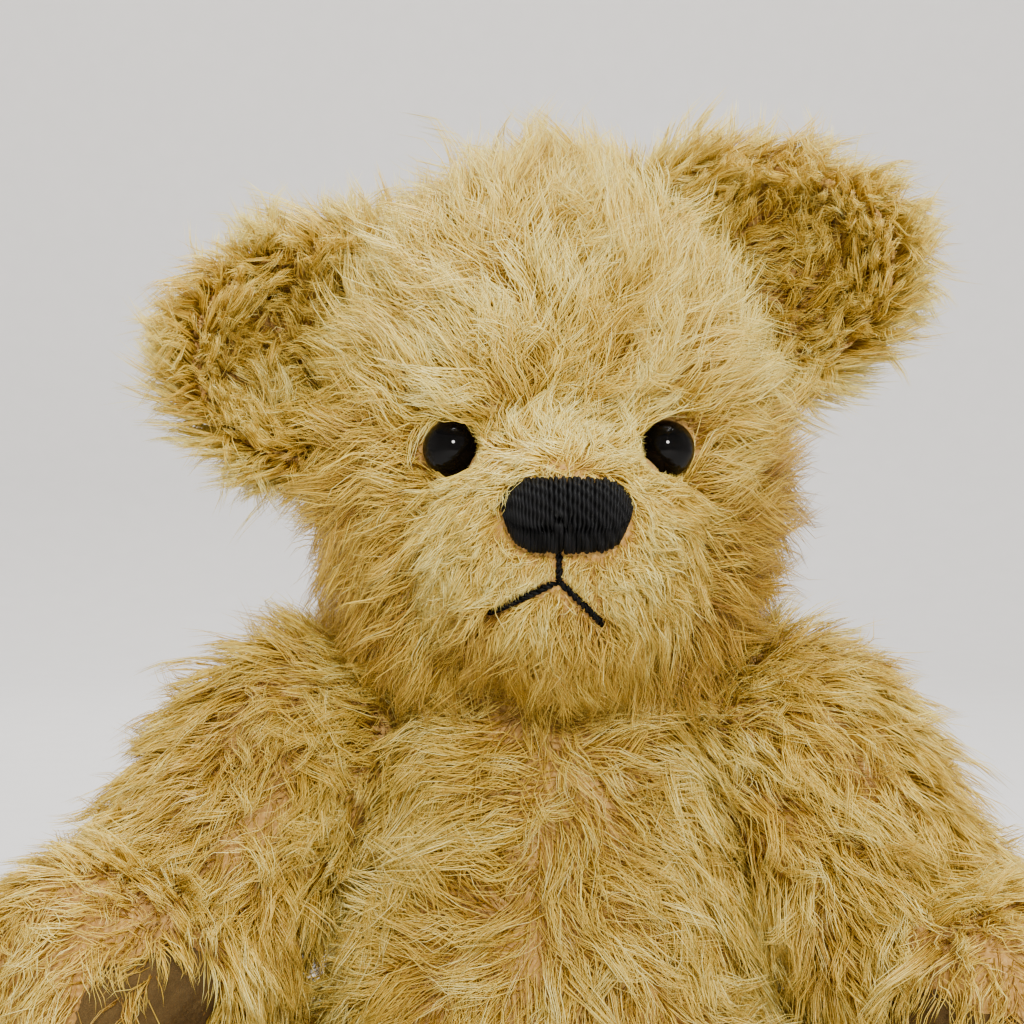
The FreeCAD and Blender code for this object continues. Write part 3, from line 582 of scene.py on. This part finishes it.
def lock_paths(roots, normals, comb, maker):
    """The middle line of each lock, from its root to its tip."""
    count = len(roots)
    flow, lift, length, sag = comb(roots, normals)
    wander = 0.60 * ripple(roots, 31, 15.0) + maker.normal(0, 0.30, count)
    flow = turned_about(along_surface(flow, normals), normals, wander)
    across = np.cross(normals, flow)
    lift = lift + maker.normal(0, 0.16, count)
    length = length * np.exp(maker.normal(0, 0.16, count))
    curl = maker.normal(0, 0.60, count)
    phase = maker.uniform(0, 2 * math.pi, count)
    paths = [roots]
    point = roots
    for step in range(SEGMENTS):
        share = (step + 0.5) / SEGMENTS
        rise = lift * (1.35 - 0.85 * share)
        swing = curl * share + 0.42 * np.sin(phase + 6.5 * share)
        heading = flow * (np.cos(rise) * np.cos(swing))[:, None]
        heading = heading + across * (np.cos(rise) * np.sin(swing))[:, None]
        heading = heading + normals * np.sin(rise)[:, None]
        heading[:, 2] -= sag * share
        point = point + unit(heading) * (length / SEGMENTS)[:, None]
        paths.append(point)
    return np.stack(paths, axis=1)


def strand_paths(surface, comb, chance, count, maker):
    """Strands gathered into locks: each follows its nearest lock and closes in towards its tip."""
    lock_roots, lock_normals = surface.plant(max(8, count // STRANDS_PER_LOCK), chance, maker)
    locks = lock_paths(lock_roots, lock_normals, comb, maker)
    tree = KDTree(len(lock_roots))
    for index, point in enumerate(lock_roots):
        tree.insert(point, index)
    tree.balance()
    roots, normals = surface.plant(count, chance, maker)
    nearest = np.array([tree.find(point)[1] for point in roots])
    lock = locks[nearest]
    own = np.clip(np.sum(normals * lock_normals[nearest], axis=1), 0, 1)
    gather = np.clip(maker.normal(0.74, 0.15, count), 0.0, 0.95)
    loose = maker.random(count) < 0.09
    gather[loose] = maker.uniform(-0.2, 0.2, loose.sum())
    reach = maker.uniform(0.72, 1.06, count)
    offset = roots - lock[:, 0]
    spread = np.where(loose, 1.2, 0.26)
    drift = maker.normal(0, 1, (count, 3)) * spread[:, None]
    wave_phase = maker.uniform(0, 2 * math.pi, count)
    sideways = unit(np.cross(lock[:, -1] - lock[:, 0], normals))
    paths = np.empty((count, SEGMENTS + 1, 3))
    for step in range(SEGMENTS + 1):
        share = step / SEGMENTS
        line = lock[:, 0] + (lock[:, step] - lock[:, 0]) * reach[:, None]
        wave = 0.28 * np.sin(wave_phase + 5.2 * share) * share
        paths[:, step] = line + offset * (1 - gather * share**0.9)[:, None] + drift * share**1.3
        paths[:, step] += sideways * wave[:, None]
    keep = own > 0.2
    return paths[keep], normals[keep]


def pile_mesh(name, paths, thickness, tones):
    """Closed tapering strands as one mesh; tones gives each strand's first material."""
    count = len(paths)
    ahead = np.empty_like(paths)
    ahead[:, :-1] = paths[:, 1:] - paths[:, :-1]
    ahead[:, 1:-1] += paths[:, 1:-1] - paths[:, :-2]
    ahead[:, -1] = paths[:, -1] - paths[:, -2]
    ahead = unit(ahead)
    reference = np.where(np.abs(ahead[:, :1, 2:]) > 0.8, [1.0, 0.0, 0.0], [0.0, 0.0, 1.0])
    side = unit(np.cross(ahead, reference))
    other = np.cross(ahead, side)
    rings = []
    for step in range(SEGMENTS):
        radius = (PILE_RADIUS[step] * thickness)[:, None]
        for corner in range(CORNERS):
            angle = 2 * math.pi * corner / CORNERS
            around = side[:, step] * math.cos(angle) + other[:, step] * math.sin(angle)
            rings.append(paths[:, step] + around * radius)
    rings.append(paths[:, SEGMENTS])
    per_strand = len(rings)
    points = np.stack(rings, axis=1)
    points[:, :, 2] = np.maximum(points[:, :, 2], FLOOR_GAP)
    faces = [[2, 1, 0]]
    segment = [0]
    for step in range(SEGMENTS - 1):
        for corner in range(CORNERS):
            after = (corner + 1) % CORNERS
            low = step * CORNERS
            faces.append([low + corner, low + after, low + CORNERS + after, low + CORNERS + corner])
            segment.append(step)
    for corner in range(CORNERS):
        low = (SEGMENTS - 1) * CORNERS
        faces.append([low + corner, low + (corner + 1) % CORNERS, per_strand - 1])
        segment.append(SEGMENTS - 1)
    sizes = np.array([len(face) for face in faces])
    pattern_loops = np.concatenate(faces)
    loops = (pattern_loops[None, :] + per_strand * np.arange(count)[:, None]).ravel()
    totals = np.tile(sizes, count)
    starts = np.concatenate([[0], np.cumsum(totals)[:-1]])
    mesh = bpy.data.meshes.new(name)
    mesh.vertices.add(count * per_strand)
    mesh.vertices.foreach_set("co", (points * MM).astype(np.float32).ravel())
    mesh.loops.add(len(loops))
    mesh.loops.foreach_set("vertex_index", loops.astype(np.int32))
    mesh.polygons.add(len(totals))
    mesh.polygons.foreach_set("loop_start", starts.astype(np.int32))
    mesh.polygons.foreach_set("loop_total", totals.astype(np.int32))
    tone = (tones[:, None] + np.array(TONE_STEPS)[segment][None, :]).ravel()
    for material in MOHAIR:
        mesh.materials.append(material)
    mesh.polygons.foreach_set("material_index", tone.astype(np.int32))
    mesh.update(calc_edges=True)
    return smooth_shaded(mesh)


def shorten_inside(paths, blocker):
    """Shorten strands that reach into a neighbour; returns which ones start inside it."""
    tree, low, high = blocker
    tips = paths[:, -1]
    near = np.all((tips > low - 1) & (tips < high + 1), axis=1)
    near |= np.all((paths[:, 0] > low - 1) & (paths[:, 0] < high + 1), axis=1)
    buried = np.zeros(len(paths), bool)
    for index in np.flatnonzero(near):
        for step, shrink in ((0, 0.0), (1, 0.2), (2, 0.42), (3, 0.62), (4, 0.8)):
            point = Vector(paths[index, step])
            found, normal, _, _ = tree.find_nearest(point)
            if (point - found).dot(normal) < 0.15:
                if step == 0:
                    buried[index] = True
                else:
                    root = paths[index, 0]
                    paths[index] = root + (paths[index] - root) * shrink
                break
    return buried


def blocker_of(skin):
    """A skin's surface in mm, and its box, for keeping other pile out of it."""
    points = coordinates(skin.data) / MM
    faces = [tuple(polygon.vertices) for polygon in skin.data.polygons]
    tree = BVHTree.FromPolygons([Vector(point) for point in points], faces)
    return tree, points.min(axis=0), points.max(axis=0)


def grow(
    name, skin, body, comb, chance, pieces, seed, blockers=(), clear=None, bias=None, thickness=1.0
):
    """Cover a skin with pile, as several pieces that share its space."""
    surface = Surface(skin)
    for part in range(pieces):
        maker = np.random.default_rng(seed + part)
        count = STRANDS_PER_PIECE // 1
        paths, normals = strand_paths(surface, comb, chance, count, maker)
        dropped = np.zeros(len(paths), bool)
        for blocker in blockers:
            dropped |= shorten_inside(paths, blocker)
        if clear is not None:
            dropped |= clear(paths)
        paths = paths[~dropped]
        # random tone from lock to lock and strand to strand, plus the part's bias: painted shade on the
        # cheeks, chin and ear cups, and a deeper tone all over the limbs
        tone_noise_and_shade = 0.75 * ripple(paths[:, 0], 41, 15.0) + maker.normal(0, 0.9, len(paths))
        if bias is not None:
            tone_noise_and_shade = tone_noise_and_shade + bias(paths[:, 0], normals[~dropped])
        palest = len(MOHAIR_TONES) - 1 - max(TONE_STEPS)
        tones = np.clip(np.rint(MIDDLE_TONE + tone_noise_and_shade), 0, palest).astype(int)
        stout = thickness * maker.uniform(0.7, 1.25, len(paths))
        label = f"{name}_{part + 1}"
        mesh = pile_mesh(label, paths, stout, tones)
        piece = bpy.data.objects.new(label, mesh)
        bpy.context.scene.collection.objects.link(piece)
        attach(piece, body)


# ---------- how each part is combed

NOSE = np.array(middle("nose_stitching")) / MM
NOSE_SPAN = np.array(spans("nose_stitching")) / MM
EYES = {word: np.array(middle(f"eye_{word}")) / MM for word in SIDES}
EYE_RADIUS = spans("eye_left").x / 2 / MM
HEAD_LOW, HEAD_HIGH = (np.array(corner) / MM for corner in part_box("head_gusset"))


def head_comb(points, normals):
    """The face's pile runs out from the bridge of the nose, up over the crown and down the chin."""
    flow = unit(points - (NOSE + np.array([0.0, 8.0, 1.0])))
    back = soft_step(-8.0, 20.0, points[:, 1])
    crown = soft_step(HEAD_HIGH[2] - 16, HEAD_HIGH[2] - 3, points[:, 2])
    lower = soft_step(NOSE[2] + 8, NOSE[2] - 6, points[:, 2])
    flow[:, 2] -= 0.9 * back * (1 - crown) + 0.45 * lower
    flow[:, 1] -= 0.5 * crown
    from_nose = np.linalg.norm((points - NOSE) * [0.8, 0.9, 1.0], axis=1)
    far = soft_step(7.0, 30.0, from_nose)
    chin = soft_step(NOSE[2] - 6, NOSE[2] - 16, points[:, 2]) * soft_step(10.0, -10.0, points[:, 1])
    length = 4.4 + 7.0 * far + 1.0 * crown + 1.5 * chin
    lift = np.radians(25 + 6 * far + 4 * crown)
    sag = 0.12 + 0.25 * chin
    return flow, lift, length, sag


def head_chance(points, normals):
    """Thickest round the nose, thinner behind, none at the neck's edge."""
    from_nose = np.linalg.norm(points - NOSE, axis=1)
    neck = soft_step(HEAD_LOW[2] + 0.5, HEAD_LOW[2] + 3.0, points[:, 2])
    front = 0.6 + 0.4 * soft_step(25, -10, points[:, 1])
    return (1.0 + 1.6 * soft_step(36.0, 10.0, from_nose)) * front * neck


def head_painted_shade(points, normals):
    """Paler on the forehead and the muzzle, with painted shade deepening the cheeks and under the chin."""
    cheek_shade = soft_step(13.0, 25.0, np.abs(points[:, 0])) * soft_step(NOSE[2] + 20, NOSE[2] + 4, points[:, 2])
    chin = soft_step(NOSE[2] - 8, NOSE[2] - 18, points[:, 2])
    return 0.45 - 2.3 * cheek_shade - 2.1 * chin


def before_face_piece(points, margin):
    """Points that lie before an eye, the nose or a mouth stitch, seen from ahead."""
    hit = np.zeros(len(points), bool)
    for eye in EYES.values():
        gap = np.hypot(points[:, 0] - eye[0], points[:, 2] - eye[2])
        hit |= (gap < EYE_RADIUS + 1.5 * margin) & (points[:, 1] < eye[1] + 6)
    half_width = NOSE_SPAN[0] / 2 - NOSE_SPAN[2] / 2
    beyond = np.maximum(np.abs(points[:, 0] - NOSE[0]) - half_width, 0.0)
    gap = np.hypot(beyond, points[:, 2] - NOSE[2])
    hit |= (gap < NOSE_SPAN[2] / 2 + 0.15 + margin) & (points[:, 1] < NOSE[1] + 8)
    for start, end in MOUTH_LINES:
        line = (end - start)[[0, 2]]
        to_point = points[:, [0, 2]] - start[[0, 2]]
        share = np.clip(to_point @ line / (line @ line), 0, 1)
        gap = np.linalg.norm(to_point - share[:, None] * line, axis=1)
        hit |= (gap < 0.62 - 0.22 * share + 0.3 * margin) & (points[:, 1] < -25)
    return hit


def face_clear(paths):
    """Shorten strands that would cover the face's stitches or eyes; drop those too short to keep."""
    hidden = before_face_piece(paths[:, 0], 0.1)
    kept = np.ones(len(paths))
    for half_step in range(2 * SEGMENTS, 0, -1):
        low, high = half_step // 2, (half_step + 1) // 2
        hit = before_face_piece((paths[:, low] + paths[:, high]) / 2, -0.25)
        kept[hit] = (half_step / 2 - 0.3) / SEGMENTS
    roots = paths[:, :1]
    paths[:] = roots + (paths - roots) * kept[:, None, None]
    return hidden | (kept < 0.1)


def torso_comb(points, normals):
    """The body's pile runs down and out from the front seam, with swirls."""
    side = 0.8 * np.tanh(points[:, 0] / 7.0) + 0.5 * ripple(points, 53, 22.0)
    flow = np.stack([side, np.zeros(len(points)), np.full(len(points), -1.0)], axis=1)
    flow = turned_about(along_surface(flow, normals), normals, 0.9 * ripple(points, 51, 26.0))
    neck = soft_step(78.0, 90.0, points[:, 2])
    length = 12.5 - 4.5 * neck
    seat = soft_step(8.0, 1.0, points[:, 2])
    lift = np.radians(30 - 8 * neck - 16 * seat)
    return flow, lift, length * (1 - 0.5 * seat), np.full(len(points), 0.18)


def torso_chance(points, normals):
    """Thicker in front, thin on the seat."""
    front = soft_step(10.0, -12.0, points[:, 1])
    upright = soft_step(-0.95, -0.7, normals[:, 2])
    return (0.7 + 0.6 * front) * (0.1 + 0.9 * upright)


def limb_comb(joint, pad, shoulder):
    """Pile along a limb, from its joint to its pad."""
    start = np.array(JOINTS[joint]["pos_m"]) / MM
    end = np.array(middle(pad)) / MM
    run = end - start
    reach = np.linalg.norm(run)
    axis = run / reach
    outward = np.sign(start[0])

    def comb(points, normals):
        share = np.clip((points - start) @ axis / reach, -0.2, 1.2)
        flow = np.tile(axis, (len(points), 1))
        flow[:, 2] -= 0.35
        top = soft_step(0.35, -0.1, share)
        if shoulder:
            flow[:, 0] += 0.7 * outward * top
            flow[:, 2] += 0.5 * top
        length = 12.5 - 1.5 * top - 5.0 * soft_step(0.62, 0.95, share)
        lift = np.radians(27 + 8 * top)
        flat = soft_step(6.0, 1.0, points[:, 2])
        return flow, lift * (1 - 0.7 * flat), length * (1 - 0.4 * flat), np.full(len(points), 0.22)

    return comb


def limb_chance(joint):
    """None where the limb meets the body, thin underneath, with thinner patches."""
    start = np.array(JOINTS[joint]["pos_m"]) / MM
    axis = np.array(JOINTS[joint]["axis"])

    def chance(points, normals):
        against = np.abs(normals @ axis) > 0.97
        at_joint = against & (np.linalg.norm(points - start, axis=1) < 16)
        underneath = soft_step(-0.95, -0.6, normals[:, 2]) * 0.9 + 0.1
        bald = 0.55 + 0.45 * soft_step(-0.5, 0.2, ripple(points, 61, 24.0))
        return np.where(at_joint, 0.0, 1.0) * underneath * bald

    return chance


def pad_clear(pad_tree):
    """Finds the strands that are rooted on a felt pad."""

    def clear(paths):
        hidden = np.zeros(len(paths), bool)
        for index, root in enumerate(paths[:, 0]):
            _, _, _, distance = pad_tree.find_nearest(Vector(root), 0.4)
            hidden[index] = distance is not None
        return hidden

    return clear


def ear_comb(word):
    """Pile that fans out from the ear's root to its rim, shorter inside the cup."""
    seat = np.array(middle(f"ear_{word}_back")) / MM
    side = SIDES[word]
    root = seat + np.array([-side * spans(f"ear_{word}_back").x / MM * 0.45, 2.0, -6.0])

    def comb(points, normals):
        flow = points - root
        inside = soft_step(0.1, -0.5, normals[:, 1])
        rim = soft_step(9.0, 20.0, np.linalg.norm((points - root)[:, [0, 2]], axis=1))
        flow[:, 1] -= 4.0 * inside
        length = 10.5 - 3.5 * inside + 1.2 * rim
        lift = np.radians(28 + 6 * inside)
        return flow, lift, length, np.full(len(points), 0.12)

    return comb


def ear_chance(word):
    """Thickest along the rim."""
    seat = np.array(middle(f"ear_{word}_back")) / MM
    half = np.array(spans(f"ear_{word}_back")) / MM / 2

    def chance(points, normals):
        off = (points - seat) / half
        return 0.9 + 1.1 * soft_step(0.65, 0.95, np.hypot(off[:, 0], off[:, 2]))

    return chance


def ear_cup_painted_shade(points, normals):
    """Deeper gold inside the cup than behind it: painted shade in the ear's hollow."""
    return 0.75 - 1.25 * soft_step(0.1, -0.6, normals[:, 1])


def limb_tone(points, normals):
    """A little deeper than the body, all over."""
    return np.full(len(points), -0.35)


# ---------- face

MOUTH_FORK_DROP = 3.6  # mm from the nose to where the mouth divides
MOUTH_THREAD = 0.00048  # radius of a laid mouth stitch
LADDER_THREAD = 0.0004  # radius of a closing stitch
LADDER_ROWS = 9
SATIN_THREADS = 36
SATIN_RADIUS = 0.00033
NOSE_ROUND = 2.3  # 2 would give half circles at the nose's ends; more is fuller
RAY_FRONT = 0.3  # metres before and behind the bear, where looks at its surface start
RAY_BACK = 0.2


def mouth_lines():
    """The upright and the two slanting mouth stitches, in mm, from the CAD stitches' outline."""
    points = coordinates(frame["nodes"]["mouth_stitching"].data) / MM
    top = points[points[:, 2] > points[:, 2].max() - 0.3].mean(axis=0)
    fork = top + np.array([0.0, 0.0, -MOUTH_FORK_DROP])
    lines = [(top, fork)]
    for edge in (points[:, 0].min(), points[:, 0].max()):
        lines.append((fork, points[np.abs(points[:, 0] - edge) < 0.5].mean(axis=0)))
    return lines


MOUTH_LINES = mouth_lines()


def front_of(tree, x, z):
    """Where a straight look from the front first meets a surface, in metres."""
    return tree.ray_cast(Vector((x, -RAY_FRONT, z)), Vector((0, 1, 0)))[0]


def build_nose(head_tree):
    """A padded nose in satin stitch: upright threads side by side, slanting a little."""
    node = frame["nodes"]["nose_stitching"]
    core = with_modifiers(
        node.data.copy(),
        ("REMESH", {"mode": "VOXEL", "voxel_size": NOSE_VOXEL}),
        ("SMOOTH", {"factor": 0.5, "iterations": 14}),
    )
    low, high = (Vector(corner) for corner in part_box("nose_stitching"))
    centre = (low + high) / 2
    tall = (high.z - low.z) / 2
    straight = (high.x - low.x) / 2 - tall
    tree = BVHTree.FromObject(node, bpy.context.evaluated_depsgraph_get())
    maker = np.random.default_rng(71)
    threads = []
    for index in range(SATIN_THREADS):
        even = (index + 0.5) / SATIN_THREADS * 2 - 1
        across = (0.5 * even + 0.5 * math.sin(math.pi / 2 * even)) * (straight + tall)
        past = max(0.0, abs(across) - straight)
        half = tall * (1 - (past / tall) ** NOSE_ROUND) ** (1 / NOSE_ROUND) * maker.uniform(0.97, 1.04)
        lean = 0.10 * across + maker.normal(0, 0.00012)
        line = []
        for step in range(13):
            up = math.sin(math.pi * (step / 12 - 0.5))
            x = centre.x + across + lean * up * 0.5
            z = centre.z + half * up
            inside_x = centre.x + (across + lean * up * 0.5) * 0.93
            hit = front_of(tree, inside_x, centre.z + half * up * 0.9)
            round_off = 1 - math.sqrt(max(0.0, 1 - (abs(up) * 0.96) ** 2.6))
            edge_off = 1 - math.sqrt(max(0.0, 1 - min(1.0, abs(across) / (straight + tall)) ** 4))
            depth = hit.y if hit is not None else centre.y
            depth = depth + 0.0026 * round_off + 0.0016 * edge_off - 0.0001
            line.append(Vector((x, min(depth, front_of(head_tree, x, z).y - 0.0001), z)))
        radius = SATIN_RADIUS * maker.uniform(0.88, 1.15)
        threads.append(tube("satin", line, radius, 8, 0.6))
    mesh = smooth_shaded(joined("nose", threads))
    nose = new_piece("nose_satin_threads", mesh, "head", "black_thread", BLACK_THREAD)
    points = coordinates(core)
    points[:, 1] += 0.0012
    shrink = np.array([0.95, 1.0, 0.90])
    points = (points - np.array(centre)) * shrink + np.array(centre)
    set_coordinates(core, points)
    padding = new_piece("nose_padding", smooth_shaded(core), "head", "black_thread", BLACK_THREAD)
    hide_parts("nose_stitching")


def twisted(name, line, radius, turns_per_mm, plies=2):
    """A laid thread of several plies twisted round each other along a line."""
    line = [Vector(point) for point in line]
    lengths = [0.0]
    for first, second in zip(line, line[1:]):
        lengths.append(lengths[-1] + (second - first).length)
    steps = max(12, int(lengths[-1] / 0.00018))
    strands = [[] for _ in range(plies)]
    for step in range(steps + 1):
        travel = lengths[-1] * step / steps
        index = max(i for i in range(len(line) - 1) if lengths[i] <= travel + 1e-9)
        share = (travel - lengths[index]) / max(lengths[index + 1] - lengths[index], 1e-9)
        point = line[index].lerp(line[index + 1], min(share, 1.0))
        turn = (line[index + 1] - line[index]).to_track_quat("Z", "Y")
        for ply in range(plies):
            angle = 2 * math.pi * (travel / MM * turns_per_mm + ply / plies)
            offset = Vector((math.cos(angle), math.sin(angle), 0)) * radius * 0.5
            strands[ply].append(point + turn @ offset)
    return joined(name, [tube("ply", strand, radius * 0.62, 6, 0.5) for strand in strands])


def build_mouth(head_tree):
    """Three laid stitches that follow the muzzle."""
    stitches = []
    for start, end in MOUTH_LINES:
        line = []
        for step in range(9):
            share = step / 8
            spot = (start * (1 - share) + end * share) * MM
            hit = front_of(head_tree, spot[0], spot[2])
            bow = 0.0004 - 0.0009 * (2 * share - 1) ** 6
            line.append(Vector((spot[0], hit.y - bow, spot[2])))
        stitches.append(twisted("stitch", line, MOUTH_THREAD, 0.55))
    mesh = smooth_shaded(joined("mouth", stitches))
    mouth = new_piece("mouth_laid_threads", mesh, "head", "black_thread", BLACK_THREAD)
    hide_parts("mouth_stitching")


def build_eyes():
    """Polished glass domes."""
    for word in SIDES:
        node = f"eye_{word}"
        work = bmesh.new()
        bmesh.ops.create_uvsphere(work, u_segments=64, v_segments=40, radius=0.5)
        size = spans(node)
        matrix = Matrix.Translation(middle(node)) @ Matrix.Diagonal((size.x, size.y, size.z, 1))
        bmesh.ops.transform(work, matrix=matrix @ Matrix.Rotation(math.pi / 2, 4, "X"), verts=work.verts)
        mesh = bpy.data.meshes.new(f"{node}_glass")
        work.to_mesh(mesh)
        work.free()
        eye = new_piece(f"{node}_glass", smooth_shaded(mesh), "head", "black_glass", GLASS)
        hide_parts(node)


def build_back_stitches(torso_tree):
    """Ladder stitches along the closing seam, each a short laid thread."""
    low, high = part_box("back_closing_stitches")
    pitch = (high[2] - low[2]) / LADDER_ROWS
    stitches = []
    for row in range(LADDER_ROWS):
        level = low[2] + pitch * (row + 0.5)
        line = []
        for step in range(7):
            share = step / 6
            x = low[0] + (high[0] - low[0]) * share
            hit = torso_tree.ray_cast(Vector((x, RAY_BACK, level)), Vector((0, -1, 0)))[0]
            lift = 0.0004 - 0.0009 * (2 * share - 1) ** 4
            line.append(Vector((x, hit.y + lift, level + 0.0003 * (share - 0.5))))
        stitches.append(twisted("ladder", line, LADDER_THREAD, 0.6))
    mesh = smooth_shaded(joined("back_stitches", stitches))
    piece = new_piece("back_ladder_stitches", mesh, "torso", "gold_thread", GOLD_THREAD)
    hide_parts("back_closing_stitches")


# ---------- joint hardware


def dress_cad_nodes():
    """The hidden joint pieces keep their CAD shapes and get finished materials."""
    for name, node in frame["nodes"].items():
        material = None
        if "disc" in name:
            material = BOARD
        if name.endswith(("washer", "washers", "bolt", "locknut", "shanks")):
            material = STEEL
        if name == "neck_gathering_thread":
            material = GOLD_THREAD
        if material is not None:
            node.data.materials.clear()
            node.data.materials.append(material)


# ---------- studio

FACE_DISTANCE = 0.230  # from the camera to the bear's face
FACE_AHEAD = 0.028  # how far the face lies in front of the neck
CAMERA_LEVEL = 0.114
CAMERA_ASIDE = -0.0055
LENS = 58.62  # mm, on a sensor 36 mm wide
FLOOR_RADIUS = 0.9  # where the studio's floor starts to turn up
FLOOR_BEND = 0.5  # radius of that turn
WALL_TOP = 1.6


def build_camera():
    """At the height of the muzzle, looking level at the face."""
    camera = bpy.data.objects.new("camera", bpy.data.cameras.new("camera"))
    bpy.context.scene.collection.objects.link(camera)
    camera.data.lens = LENS
    camera.data.sensor_width = 36.0
    camera.data.clip_start = 0.01
    camera.location = (CAMERA_ASIDE, -FACE_DISTANCE - FACE_AHEAD, CAMERA_LEVEL)
    camera.rotation_euler = (math.pi / 2, 0, 0)
    bpy.context.scene.camera = camera


def build_stage():
    """A pale round floor that turns up into a low wall all round."""
    material, nodes, links, shader = node_material("studio_paper", (0.74, 0.72, 0.70), 0.9)
    grain = pattern(nodes, "ShaderNodeTexNoise", scale=60.0, detail=3.0)
    links.new(place(nodes), grain.inputs["Vector"])
    dark, light = (0.73, 0.71, 0.69), (0.75, 0.73, 0.71)
    colour_by(nodes, links, shader, grain.outputs["Fac"], (0.3, dark), (0.7, light))
    profile = [(FLOOR_RADIUS, 0.0)]
    for step in range(1, 13):
        angle = math.pi / 2 * step / 12
        out_by = FLOOR_BEND * math.sin(angle)
        profile.append((FLOOR_RADIUS + out_by, FLOOR_BEND - FLOOR_BEND * math.cos(angle)))
    profile.append((FLOOR_RADIUS + FLOOR_BEND, WALL_TOP))
    around = 96
    work = bmesh.new()
    rings = []
    for radius, height in profile:
        ring = []
        for index in range(around):
            angle = 2 * math.pi * index / around
            ring.append(work.verts.new((radius * math.cos(angle), radius * math.sin(angle), height)))
        rings.append(ring)
    work.faces.new(rings[0])
    for ring, following in zip(rings, rings[1:]):
        for index in range(around):
            after = (index + 1) % around
            work.faces.new((ring[index], ring[after], following[after], following[index]))
    bmesh.ops.recalc_face_normals(work, faces=work.faces)
    bmesh.ops.reverse_faces(work, faces=work.faces)
    mesh = bpy.data.meshes.new("studio_floor")
    work.to_mesh(mesh)
    work.free()
    floor = bpy.data.objects.new("studio_floor", smooth_shaded(mesh))
    bpy.context.scene.collection.objects.link(floor)
    mesh.materials.append(material)


def soft_light(name, place_at, size, power, warmth=(1.0, 1.0, 1.0), target=(0, 0, 0.11)):
    """A round area light aimed at the bear's head, or at another target."""
    light = bpy.data.lights.new(name, "AREA")
    light.shape = "DISK"
    light.size = size
    light.energy = power
    light.color = warmth
    lamp = bpy.data.objects.new(name, light)
    bpy.context.scene.collection.objects.link(lamp)
    lamp.location = place_at
    aim = Vector(target) - lamp.location
    lamp.rotation_euler = aim.to_track_quat("-Z", "Y").to_euler()


def build_light():
    """A soft key light, a light above, one behind and one on the wall."""
    soft_light("key", (0.10, -0.95, 0.52), 0.16, 11.5, (1.0, 0.97, 0.92))
    soft_light("top", (0.12, -0.16, 0.95), 0.40, 8.0)
    soft_light("rim", (-0.30, 0.80, 0.70), 0.60, 4.0)
    soft_light("wall", (0.0, 0.35, 1.10), 0.60, 10.5, target=(0.0, 1.4, 0.25))
    world = bpy.data.worlds.new("studio_air")
    bpy.context.scene.world = world
    world.use_nodes = True
    air = world.node_tree.nodes["Background"]
    air.inputs["Color"].default_value = (0.95, 0.97, 1.0, 1)
    air.inputs["Strength"].default_value = 0.34


# ---------- assembly


def build_pile(skins, ears):
    """Grow the pile of every part, kept out of its neighbours."""
    blockers = {body: blocker_of(skin) for body, skin in skins.items()}
    ear_blockers = [blocker_of(ear) for ear in ears.values()]
    head_neighbours = ear_blockers + [blockers["torso"], blockers["arm_left"], blockers["arm_right"]]
    grow(
        "head_pile", skins["head"], "head", head_comb, head_chance, 7, 100,
        head_neighbours, face_clear, head_painted_shade,
    )
    for word in SIDES:
        grow(
            f"ear_{word}_pile", ears[word], "head", ear_comb(word), ear_chance(word), 2,
            200 + 10 * SIDES[word], [blockers["head"]], None, ear_cup_painted_shade,
        )
    others = [blockers[name] for name in ("head", "arm_left", "arm_right", "leg_left", "leg_right")]
    grow("torso_pile", skins["torso"], "torso", torso_comb, torso_chance, 4, 300, others)
    for limb, joint, pad, pieces, seed in (
        ("arm", "shoulder", "paw_pad", 3, 400),
        ("leg", "hip", "foot_pad", 2, 500),
    ):
        for word in SIDES:
            name = f"{limb}_{word}"
            pad_name = f"{pad}_{word}"
            near = [blockers["torso"], blockers["head"]]
            near.append(blockers[f"leg_{word}" if limb == "arm" else f"arm_{word}"])
            points = [Vector(point) / MM for point in coordinates(frame["nodes"][pad_name].data)]
            faces = [tuple(polygon.vertices) for polygon in frame["nodes"][pad_name].data.polygons]
            pad_tree = BVHTree.FromPolygons(points, faces)
            grow(
                f"{name}_pile", skins[name], name, limb_comb(f"{joint}_{word}", pad_name, limb == "arm"),
                limb_chance(f"{joint}_{word}"), pieces, seed + 10 * SIDES[word],
                near, pad_clear(pad_tree), limb_tone, 1.0 if limb == "arm" else 1.25,
            )


def build_bear():
    """Skins and pads, then the face, the stitches, the hardware and the pile."""
    skins = build_skins()
    ears = build_ear_skins()
    build_pads()
    graph = bpy.context.evaluated_depsgraph_get()
    head_tree = BVHTree.FromObject(skins["head"], graph)
    build_nose(head_tree)
    build_mouth(head_tree)
    build_eyes()
    build_back_stitches(BVHTree.FromObject(skins["torso"], graph))
    dress_cad_nodes()
    build_pile(skins, ears)


build_camera()
build_stage()
build_light()
build_bear()
